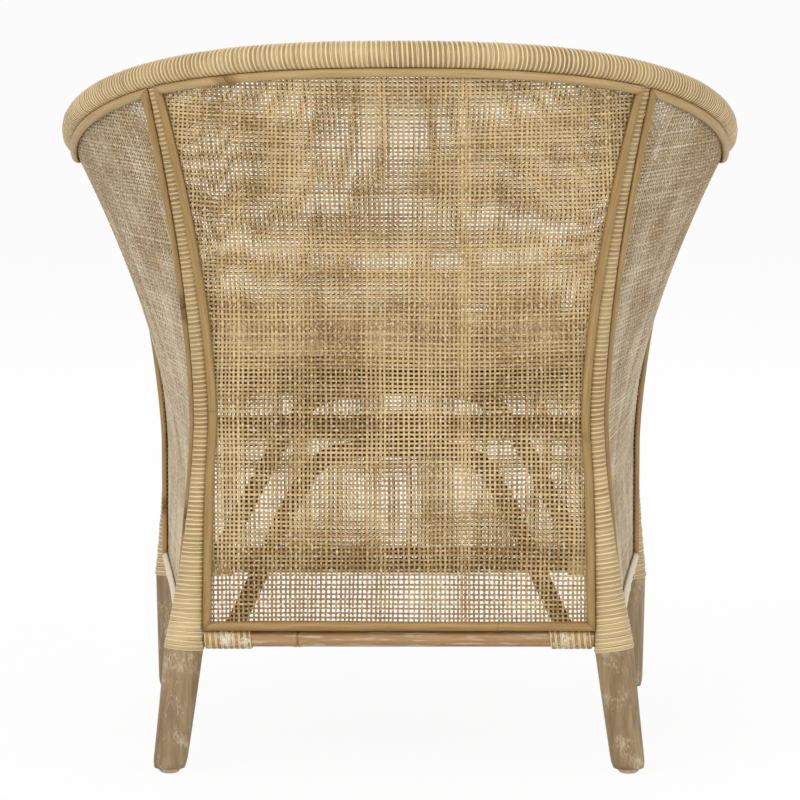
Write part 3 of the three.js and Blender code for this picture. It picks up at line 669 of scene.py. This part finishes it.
def layStrands(label, cloth, finish, node, sizes=weave):
    for across in (False, True):
        part = strandSet(label + ("_weft" if across else "_warp"), *cloth, across, finish, sizes)
        finishPiece(part, None, "cane", node)
        print(part.name, len(part.data.polygons))


def trimInset(z):
    return np.sqrt((boundRadius(z) + skinSizes["fit"]) ** 2 - trims["base"] ** 2) + trims["margin"]


def railTop(skin, off, rise=0.0, samples=60):
    u = np.linspace(0, 1, samples)
    top = heightUnderRail(skin, u, off, railClear) + rise
    return lambda v: np.interp(np.clip(v, 0, 1), u, top)


def levelAt(height):
    return lambda u: np.full(np.shape(u), height)


def weaveSkin(skin, bottom, topAt, spineSteps=300, rowSteps=61, topSteps=41):
    off = skinSizes["offset"]
    grid = np.linspace(0, 1, rowSteps)
    middle = np.linspace(bottom, float(np.max(topAt(np.linspace(0, 1, topSteps)))), spineSteps)
    run = runAlong(skinPoint(skin, 0.5, middle, off))
    heights = np.interp(np.arange(0, run[-1], weave["pitch"]), run, middle)
    places = []
    for z in heights:
        s = runAlong(skinPoint(skin, grid, z, off))
        places.append(s - np.interp(0.5, grid, s))
    reach = int(max(s[-1] for s in places) / weave["pitch"]) + 1
    even = np.arange(-reach, reach + 1) * weave["pitch"]
    rows = np.arange(len(heights)) * weave["pitch"]
    steps = even + drift(even) + wanderField(even[None, :], rows[:, None])
    u = np.stack([np.interp(row, s, grid) for row, s in zip(steps, places)])
    inside = np.stack([(row > s[0]) & (row < s[-1]) for row, s in zip(steps, places)])
    sag = drift(rows)[:, None] + wanderField(even[None, :], rows[:, None])
    z = np.clip(np.interp(rows[:, None] + sag, run, middle), bottom, middle[-1])
    inset = trimInset(heights) + trims["width"] * weave["underTrim"]
    low, high = insetU(skin, heights, inset), insetU(skin, heights, inset, True)
    mask = inside & (u > low[:, None]) & (u < high[:, None]) & (z < topAt(u))
    keep = mask.any(0)
    u, z, mask = u[:, keep], z[:, keep], mask[:, keep]
    return skinPoint(skin, u, z, off), skinNormal(skin, u, z), mask


# How far each skin's cane starts above the trims' foot, and ends above the line under the rail or the seat
skins = {"rear": ("rear_panel", cane, 1.0), "left": ("side_panel_left", greyCane, 1.0),
         "right": ("side_panel_right", greyCane, 1.0), "front": ("front_panel", cane, -2.4)}
skinRise = {"rail": 1.0, "seat": -5.0}
for skin, (node, finish, lift) in skins.items():
    if skin == "front":
        topAt = levelAt(levels["deckBottom"] + skinRise["seat"])
    else:
        topAt = railTop(skin, skinSizes["offset"], skinRise["rail"])
    layStrands(skin + "_cane", weaveSkin(skin, trims["foot"] + lift, topAt), finish, node)

# Lining: stations round the tub, from the left arm round the back to the right arm
lining = {"perSide": 40, "corner": 30.0, "footDrop": 3.0, "topGap": 3.0, "rows": 160, "ends": 2.0,
          "widening": 1.06}


def liningPath():
    left, rear, right = (float(insetU(skin, levels["deckTop"], lining["corner"]))
                         for skin in ("left", "rear", "right"))
    spans = (("left", 1, left), ("rear", rear, 1 - rear), ("right", right, 1))
    return [(skin, u) for skin, a, b in spans for u in np.linspace(a, b, lining["perSide"])]


stations = liningPath()


def liningTop(off, gap):
    return np.array([float(heightUnderRail(s, u, off, railClear + gap)) for s, u in stations])


def weaveLining():
    foot = levels["deckTop"] - lining["footDrop"]  # down behind the seat's trim
    top = liningTop(skinSizes["lining"], lining["topGap"])
    high = np.linspace(foot, top.max(), lining["rows"])
    points = np.stack([skinPoint(s, u, high, skinSizes["lining"]) for s, u in stations])
    normals = np.stack([skinNormal(s, u, high) for s, u in stations])
    run = runAlong(points[len(top) // 2])
    heights = np.interp(np.arange(0, run[-1], weave["pitch"]), run, high)
    length = runAlong(points[:, lining["rows"] // 2])
    marks = np.arange(lining["ends"], length[-1] - lining["ends"], weave["pitch"] * lining["widening"])
    station = np.interp(marks, length, np.arange(len(length)))
    base = np.minimum(station.astype(int), len(length) - 2)
    part = (station - base)[:, None, None]
    level = np.stack([pointsAt(heights, high, line) for line in points])
    facing = np.stack([pointsAt(heights, high, line) for line in normals])
    woven = lerp(level[base], level[base + 1], part)
    face = unit(lerp(facing[base], facing[base + 1], part))
    limit = np.interp(station, np.arange(len(top)), top)
    mask = heights[None, :] < limit[:, None]
    return woven.swapaxes(0, 1), face.swapaxes(0, 1), mask.T


layStrands("lining", weaveLining(), cane, "inner_panel")

# Seat: the same cane, woven close
deckWeave = {"pitch": 5.4, "width": 4.7, "thickness": 0.8, "wave": 0.55, "toneSpread": 0.24, "start": 2.5,
             "stop": 2.0, "sink": 1.3, "frontInset": 3.0, "backShare": 0.03, "backOff": -6.0,
             "underLining": 2.0, "postGap": 1.5}


def weaveDeck(flankSteps=60):
    low, high = (np.array(corner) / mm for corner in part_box("seat_deck"))
    seat = levels["deckTop"]
    x, y = (np.arange(low[k] + deckWeave["start"], high[k] - deckWeave["stop"], deckWeave["pitch"])
            for k in (0, 1))
    points = np.zeros((len(y), len(x), 3))
    points[..., 0], points[..., 1] = x[None, :], y[:, None]
    points[..., 2] = seat - deckWeave["sink"]
    normals = np.zeros_like(points)
    normals[..., 2] = 1.0
    depth = np.clip((y - low[1]) / (high[1] - low[1]), 0, 1)
    back = abs(float(skinPoint("left", deckWeave["backShare"], seat, deckWeave["backOff"])[0]))
    inside = skinSizes["lining"] + deckWeave["underLining"]
    flank = skinPoint("left", np.linspace(1, 0, flankSteps), seat, inside)
    half = lerp(high[0] - deckWeave["frontInset"], back, depth)
    half = np.maximum(half, np.interp(y, flank[:, 1], flank[:, 0]))
    mask = np.abs(points[..., 0]) < half[:, None]
    for name in ribs:
        centre = postAxis(name, seat)
        near = np.hypot(points[..., 0] - centre[0], points[..., 1] - centre[1])
        mask &= near > float(boundRadius(seat)) + deckWeave["postGap"]
    return points, normals, mask


layStrands("seat_cane", weaveDeck(), cane, "seat_deck", deckWeave)

# Bindings of rattan peel
railPeel = {"pitch": 5.0, "width": 5.24, "slant": 0.02, "unevenness": 0.02, "thin": 0.025, "seed": 3}
postPeel = {"pitch": 4.8, "width": 4.98, "slant": 0.028, "unevenness": 0.035, "thin": 0.03, "seed": 20}
turnSizes = {"steps": 16, "flat": 0.26, "shoulder": 0.38, "shoulderDrop": 0.25}


def turnMesh(name, width, pitch, thin):  # one turn of a strip round a unit radius, along Z, in metres
    steps = turnSizes["steps"]
    half = [(turnSizes["flat"], 1.0), (turnSizes["shoulder"], 1 - turnSizes["shoulderDrop"] * thin),
            (0.5, 1 - thin)]
    profile = [(-w, r) for w, r in reversed(half)] + half
    points, edge = [], []
    for i in range(steps + 1):
        turn = math.tau * i / steps
        for w, r in profile:
            along = w * width + pitch * (i / steps - 0.5)
            points.append((r * math.cos(turn), r * math.sin(turn), along * mm))
            edge.append(1.0 if abs(w) > turnSizes["flat"] else 0.0)
    row = len(profile)
    faces = [(i * row + j, i * row + (j + 1) % row, (i + 1) * row + (j + 1) % row, (i + 1) * row + j)
             for i in range(steps) for j in range(row)]
    mesh = bpy.data.meshes.new(name)
    mesh.from_pydata(points, [], [f[::-1] for f in faces])
    store(mesh, {"edge": edge})
    return link(name, mesh)


def wind(name, path, face, girth, sizes, seed, finish):
    turn = turnMesh(name + "_turn", sizes["width"], sizes["pitch"], sizes["thin"])
    girth = np.broadcast_to(girth, len(path)) * mm
    piece = wires(name, path, [(0, len(path))], {"face": face, "girth": girth})
    runTree(piece, windings, {"Pitch": sizes["pitch"] * mm, "Turn": turn, "Slant": sizes["slant"],
                              "Unevenness": sizes["unevenness"], "Seed": seed, "Finish": finish})
    mesh = turn.data
    bpy.data.objects.remove(turn)
    bpy.data.meshes.remove(mesh)
    return piece


def squareTo(direction, path):  # the direction, made square to the path
    along = tangents(path)
    d = np.broadcast_to(direction, path.shape)
    return unit(d - (d * along).sum(1, keepdims=True) * along)


railLine = railAt(np.linspace(-1, 1, rail["steps"]))
binding = wind("rail_wrap", railLine, squareTo((0, 0, -1), railLine), rail["boundRadius"], railPeel,
               railPeel["seed"], peel)
finishPiece(binding, None, "peel", "top_rail_binding")
print(binding.name, len(binding.data.polygons))
core = loft("rail_pole", ringsAlong(railLine, rail["coreRadius"] + rail["coreFill"], rail["sides"]),
            np.zeros((rail["steps"], rail["sides"])))
finishPiece(core, pole, "pole", "top_rail")

# Posts: the wrap, the leg that runs up inside it, and the glide's profile as radii and heights
postForm = {"railGap": 1.0, "wrapStart": 2.6, "wrapSteps": 160, "legEnd": 6, "legSteps": 24, "coreStart": 12,
            "coreEnd": 6, "coreSteps": 60, "fill": 0.4, "footEase": (1.6, 0.3), "sides": 28}
glideProfile = [(0.2, 0.0), (5.6, 0.0), (7.6, 0.35), (9.8, 1.5), (11.1, 3.0), (11.5, 4.4), (11.5, 5.9),
                (0.2, 5.9)]
circle = fullTurn(postForm["sides"])
spokes = np.stack([np.cos(circle), np.sin(circle), np.zeros(len(circle))], -1)


def makePost(name, seed):
    end, side = name.split("_")
    ankle = posts["bindingBottom"]
    top = float(heightUnderRail(side, postEdge(name), 0.0, rail["boundRadius"] + postForm["railGap"]))
    z = np.linspace(ankle + postForm["wrapStart"], top, postForm["wrapSteps"])
    path = postAxis(name, z)
    middle = path[len(path) // 2]
    face = squareTo((-middle[0], tubCentre - middle[1], 0), path)
    wrap = wind(f"{end}_post_wrap_{side}", path, face, boundRadius(z), postPeel, seed, agedPeel)
    finishPiece(wrap, None, "peel", f"{end}_post_binding_{side}")
    shown = np.linspace(posts["legBottom"], ankle + postForm["legEnd"], postForm["legSteps"])
    hidden = np.linspace(ankle + postForm["coreStart"], top + postForm["coreEnd"], postForm["coreSteps"])
    z = np.concatenate([shown, hidden])
    radius = postRadius(z) + postForm["fill"]
    radius[:2] -= postForm["footEase"]
    leg = loft(f"{end}_leg_{side}", postAxis(name, z)[:, None] + radius[:, None, None] * spokes)
    finishPiece(leg, limedLeg, "leg", f"{end}_post_{side}")
    foot = postAxis(name, posts["legBottom"])
    rings = [(foot[0], foot[1], h) + r * spokes for r, h in glideProfile]
    glide = loft(f"{end}_glide_{side}", rings)
    finishPiece(glide, paleGlide, "glide", f"foot_glide_{end}_{side}")


for index, name in enumerate(ribs):
    makePost(name, postPeel["seed"] + index)
print("posts bound")

# Poles with their knots, as shares along each pole
knots = {"bottom_rail_rear": (0.24,), "bottom_rail_front": (0.63,), "bottom_rail_left": (0.4,),
         "bottom_rail_right": (0.7,), "seat_rail_rear": (0.35,), "seat_rail_front": (0.55,),
         "seat_rail_left": (0.5,), "seat_rail_right": (0.3,), "seat_stretcher_rear": (0.7,),
         "seat_stretcher_front": (0.3,), "arch_brace_rear": (0.22, 0.66), "arch_brace_front": (0.35, 0.8)}
knotForm = {"swell": 0.7, "swellReach": 4.0, "groove": 0.9, "grooveReach": 0.7, "stainReach": 1.4,
            "marks": np.array([-6, -3, -1.2, -0.5, 0, 0.5, 1.2, 3, 6])}
poleForm = {"sides": 18, "up": (0.05, 0.03, 1), "crossCut": 7, "sideCut": 13.2}


def hump(away, reach):
    return np.exp(-(away / reach) ** 2)


def rattanPole(name, path, radius, finish, steps=90):
    run = runAlong(path)
    centres = [knot * run[-1] for knot in knots[name]]
    marks = [np.linspace(0, run[-1], steps)] + [centre + knotForm["marks"] for centre in centres]
    marks = np.unique(np.clip(np.concatenate(marks), 0, run[-1]))
    girth = np.full(len(marks), radius)
    ring = np.zeros(len(marks))
    for centre in centres:
        away = np.abs(marks - centre)
        girth += knotForm["swell"] * hump(away, knotForm["swellReach"])
        girth -= knotForm["groove"] * hump(away, knotForm["grooveReach"])
        ring = np.maximum(ring, hump(away, knotForm["stainReach"]))
    rings = ringsAlong(pointsAt(marks, run, path), girth, poleForm["sides"], poleForm["up"])
    piece = loft("pole_" + name, rings, np.repeat(ring, poleForm["sides"]))
    finishPiece(piece, finish, "pole", name)


def behindSkin(radius):  # how far a pole's axis lies inside the skin's line
    return skinSizes["offset"] - skinSizes["thickness"] / 2 - radius - skinSizes["poleGap"]


def chord(skin, z, radius):
    ends = skinPoint(skin, np.array([0.0, 1.0]), z, behindSkin(radius))
    ends[:, 2] = z
    return ends


def shorten(ends, cut):
    step = unit(ends[1] - ends[0]) * cut
    return np.array([ends[0] + step, ends[1] - step])


lash = {"pitch": 6.0, "width": 6.1, "slant": 0.0, "unevenness": 0.0, "thin": 0.08, "turns": 7, "radius": 10.8,
        "start": 4.2, "railEnd": -1.0, "steps": 12, "slack": 0.01, "seed": 78, "seedStep": 3}
railFinishes = {"rear": pole, "front": shadedPole, "left": limedPole, "right": limedPole}
for row, (skin, names) in enumerate(skinEnds.items()):
    ends = np.array([postAxis(name, levels["bottomRail"]) for name in names])
    bound = float(boundRadius(levels["bottomRail"]))
    rattanPole("bottom_rail_" + skin, shorten(ends, bound + lash["railEnd"]), levels["bottomRadius"],
               railFinishes[skin])
    for index, name in enumerate(names):
        end, side = name.split("_")
        label = side if skin in backFront else end
        turns = lash["turns"] + (1 if (skin, label) == ("rear", "left") else 0)
        length = (turns - 1) * lash["pitch"] + lash["slack"]
        reach = bound + lash["start"] + np.linspace(0, length, lash["steps"])
        path = ends[index] + unit(ends[1 - index] - ends[index]) * reach[:, None]
        coil = wind(f"lash_{skin}_{label}", path, squareTo((0, 0, 1), path), lash["radius"], lash,
                    lash["seed"] + lash["seedStep"] * row + index, limedPeel)
        finishPiece(coil, None, "peel", f"lashing_{skin}_{label}")

seatEnds = {end: chord(end, levels["seatRail"], levels["seatRadius"]) for end in backFront}
for end, ends in seatEnds.items():
    rattanPole("seat_rail_" + end, shorten(ends, poleForm["crossCut"]), levels["seatRadius"], shadedPole)
for side in hands:
    ends = chord(side, levels["seatRail"], levels["seatRadius"])
    ends[:, 1] = seatEnds["rear"][0, 1], seatEnds["front"][0, 1]
    rattanPole("seat_rail_" + side, shorten(ends, poleForm["sideCut"]), levels["seatRadius"], shadedPole)
for end in backFront:
    ends = shorten(chord(end, levels["stretcher"], levels["stretcherRadius"]), poleForm["crossCut"])
    rattanPole("seat_stretcher_" + end, ends, levels["stretcherRadius"], shadedPole)

arch = {"radius": 9.5, "widening": {"rear": 1.0, "front": 1.17}, "crown": 335.2, "steps": 110,
        "halfWidths": (172.0, 147.0, 110.0, 74.0), "heights": (148.0, 200.0, 280.0, 325.7)}


def smoothLine(points, steps=120):  # a rounded line through points
    points = np.asarray(points, float)
    padded = np.concatenate([[2 * points[0] - points[1]], points, [2 * points[-1] - points[-2]]])
    t = np.linspace(0, len(points) - 1 - 1e-9, steps)
    i = t.astype(int)
    f = (t - i)[:, None]
    p0, p1, p2, p3 = (padded[i + k] for k in range(4))
    bend = (2 * p0 - 5 * p1 + 4 * p2 - p3) * f ** 2 + (3 * p1 - p0 - 3 * p2 + p3) * f ** 3
    return 0.5 * (2 * p1 + (p2 - p0) * f + bend)


for end, widening in arch["widening"].items():
    half = [(x * widening, z) for x, z in zip(arch["halfWidths"], arch["heights"])]
    line = []
    for x, z in half + [(0.0, arch["crown"])] + [(-x, z) for x, z in reversed(half)]:
        u = (1 - x / skinAt(end, 0.0, z)[0]) / 2
        line.append((*skinPoint(end, u, z, behindSkin(arch["radius"]))[:2], z))
    rattanPole("arch_brace_" + end, smoothLine(line), arch["radius"], shadedPole, arch["steps"])
print("poles and lashings made")

# Half-round trims, with butt joints at shares along some of them
halfRound = [(0.5 - 0.5 * math.cos(t), math.sin(t)) for t in np.linspace(0, math.pi, 9)]
splices = {"rear_trim_top": (0.165,), "side_trim_rear_left": (0.2, 0.595), "side_trim_front_left": (0.11,),
           "side_trim_top_right": (0.55,), "inner_trim_top": (0.4,), "front_trim_top": (0.6,)}
trimFinishes = {"rear_trim_bottom": tanSplit, "front_trim_bottom": tanSplit}
for hand in hands:
    trimFinishes["rear_trim_" + hand] = oliveSplit
    trimFinishes["side_trim_rear_" + hand] = oliveSplit
    trimFinishes["side_trim_front_" + hand] = tanSplit
    trimFinishes["side_trim_bottom_" + hand] = limedSplit
# Painted shade along the strips' lower sides, below a share of their height
stripForm = {"spliceGap": 0.0006, "fewest": 12, "edgeShade": 0.6, "shadeHeight": 0.3, "mitreFit": 0.02}
# Knot marks across the strips: share along, half width in millimetres, strength
trimMarks = {"rear_trim_left": (0.4, 1.1, 0.6), "rear_trim_right": (0.352, 4.5, 0.45),
             "rear_trim_bottom": (0.757, 0.9, 0.55)}
markSteps = np.linspace(-0.012, 0.012, 25)


def trimStrip(node, placeAt, steps=64):
    cuts = [0.0, *splices.get(node, ()), 1.0]
    for index, (a, b) in enumerate(zip(cuts[:-1], cuts[1:])):
        first = a + (stripForm["spliceGap"] if a else 0)
        last = b - (stripForm["spliceGap"] if b < 1 else 0)
        share = np.linspace(first, last, max(stripForm["fewest"], int(steps * (b - a))))
        if node in trimMarks:
            share = np.unique(np.concatenate([share, trimMarks[node][0] + markSteps]))
        rings = np.stack([placeAt(share, w * trims["width"], h * trims["height"]) for w, h in halfRound], 1)
        ring = np.zeros(rings.shape[:2])
        # painted shade on each strip's lower sides, where it meets the cane
        ring[:] = [stripForm["edgeShade"] if h < stripForm["shadeHeight"] else 0.0 for w, h in halfRound]
        if a:
            ring[:2] = 1.0
        if b < 1:
            ring[-2:] = 1.0
        if node in trimMarks:
            knot, width, strength = trimMarks[node]
            centre = rings[np.searchsorted(share, knot)].mean(0)
            ahead = unit(rings[-1].mean(0) - rings[0].mean(0))
            ring = np.maximum(ring, strength * hump((rings - centre) @ ahead, width))
        piece = loft("half_" + node + (f"_{index + 1}" if len(cuts) > 2 else ""), rings, ring)
        finishPiece(piece, trimFinishes.get(node, split), "trim", node)


def stripU(skin, z, across, fromEnd):
    return insetU(skin, z, trimInset(z) + across, fromEnd)


def frameTrims(skin, topAt, form, ends):  # four strips, mitred where they meet
    fit = stripForm["mitreFit"]

    def upright(fromEnd):
        def placeAt(share, across, height):
            corner = stripU(skin, topAt(np.array([1.0 if fromEnd else 0.0])) - across, across, fromEnd)
            z = lerp(trims["foot"] + across + fit, topAt(corner) - across - fit, share)
            return skinPoint(skin, stripU(skin, z, across, fromEnd), z, trims["base"] + height)
        return placeAt

    def level(heightAt):
        def placeAt(share, across, height):
            start = stripU(skin, heightAt(np.array([0.0]), across), across + fit, False)
            stop = stripU(skin, heightAt(np.array([1.0]), across), across + fit, True)
            u = lerp(start, stop, share)
            return skinPoint(skin, u, heightAt(u, across), trims["base"] + height)
        return placeAt

    strips = {ends[0]: upright(False), ends[1]: upright(True),
              "bottom": level(lambda u, across: np.full(np.shape(u), trims["foot"] + across)),
              "top": level(lambda u, across: topAt(u) - across)}
    for part, placeAt in strips.items():
        trimStrip(form.format(part), placeAt)


frameTrims("rear", railTop("rear", trims["base"]), "rear_trim_{}", hands)
for side in hands:
    frameTrims(side, railTop(side, trims["base"]), "side_trim_{}_" + side, backFront)
frameTrims("front", levelAt(levels["deckBottom"] - skinSizes["fit"]), "front_trim_{}", hands)


def liningTrims(steps=120):
    base = trims["liningBase"]
    top = liningTop(base, 0.0)
    foot = levels["deckTop"] + skinSizes["fit"]
    rise = [float(skinPoint(s, u, foot, base)[2]) - foot for s, u in stations]

    def strip(heightAt):
        def placeAt(share, across, height):
            line = np.stack([skinPoint(s, u, heightAt(i, across), base - height)
                             for i, (s, u) in enumerate(stations)])
            return pointsAt(share, np.linspace(0, 1, len(line)), line)
        return placeAt

    def seatHeight(i, across):  # the lower edge follows the seat
        return foot + across - rise[i] * (1 - across / trims["width"])

    def upright(side):
        def placeAt(share, across, height):
            gap = trims["width"] + skinSizes["fit"]
            z = lerp(foot + gap, top[0] - gap, share)
            return skinPoint(side, insetU(side, z, across, True), z, base - height)
        return placeAt

    trimStrip("inner_trim_top", strip(lambda i, across: top[i] - across), steps)
    trimStrip("inner_trim_seat", strip(seatHeight), steps)
    for side in hands:
        trimStrip("inner_trim_front_" + side, upright(side))


liningTrims()
print("trims made")

# Stage, light and camera
stage = {"light": 0.55, "floor": (0.9, 0.9, 0.9, 1), "glow": 0.93, "white": (1, 1, 1, 1), "reach": 30}
lamps = {"key": ((1.6, 2.6, 2.6), 2.4, 62), "fill": ((-2.2, 2.0, 1.6), 2.2, 26),
         "front": ((0.0, -2.6, 2.4), 2.4, 30)}
lampAim = (0, 0, 0.4)
view = {"place": (-0.0299, 8.2318, 1.474), "aim": (-0.0003, 0.0318, 0.3623), "focalPixels": 7840.0,
        "photoPixels": 800, "sensor": 36.0, "farthest": 100.0}


def seenDirectly(tree):  # 1 for what the camera sees, also in reflections and through clear pieces
    path = addNode(tree, "ShaderNodeLightPath").outputs
    seen = calc(tree, "MAXIMUM", path["Is Camera Ray"], path["Is Glossy Ray"])
    return calc(tree, "MAXIMUM", seen, path["Is Transmission Ray"])


def makeFloor():
    reach = stage["reach"]
    mesh = bpy.data.meshes.new("studio_floor")
    corners = [(-reach, -reach, 0), (reach, -reach, 0), (reach, reach, 0), (-reach, reach, 0)]
    mesh.from_pydata(corners, [], [(0, 1, 2, 3)])
    floor = link("studio_floor", mesh)
    material, tree = newMaterial("studioFloor")
    diffuse = socket(tree, "ShaderNodeBsdfDiffuse", {"Color": stage["floor"]})
    glow = socket(tree, "ShaderNodeEmission", {"Color": stage["white"], "Strength": 1.0})
    amount = calc(tree, "MULTIPLY", seenDirectly(tree), stage["glow"])
    mix = socket(tree, "ShaderNodeMixShader", {0: amount, 1: diffuse, 2: glow})
    addNode(tree, "ShaderNodeOutputMaterial", {0: mix})
    mesh.materials.append(material)


def makeWorld():
    scene.world = bpy.data.worlds.new("studio")
    tree = freshTree(scene.world)
    strength = mapRange(tree, seenDirectly(tree), 0, 1, stage["light"], 1)
    back = socket(tree, "ShaderNodeBackground", {"Color": stage["white"], "Strength": strength})
    addNode(tree, "ShaderNodeOutputWorld", {0: back})


def aimed(name, data, spot, aim):
    made = link(name, data)
    made.location = spot
    made.rotation_euler = (Vector(aim) - Vector(spot)).to_track_quat("-Z", "Y").to_euler()
    return made


makeFloor()
makeWorld()
for name, (spot, size, power) in lamps.items():
    lamp = bpy.data.lights.new(name, "AREA")
    lamp.size = size
    lamp.energy = power
    aimed(name, lamp, spot, lampAim)

camera = bpy.data.cameras.new("camera")
camera.sensor_fit = "HORIZONTAL"
camera.sensor_width = view["sensor"]
camera.lens = view["focalPixels"] / view["photoPixels"] * view["sensor"]
camera.clip_end = view["farthest"]
scene.camera = aimed("camera", camera, view["place"], view["aim"])
scene.view_settings.view_transform = "Standard"
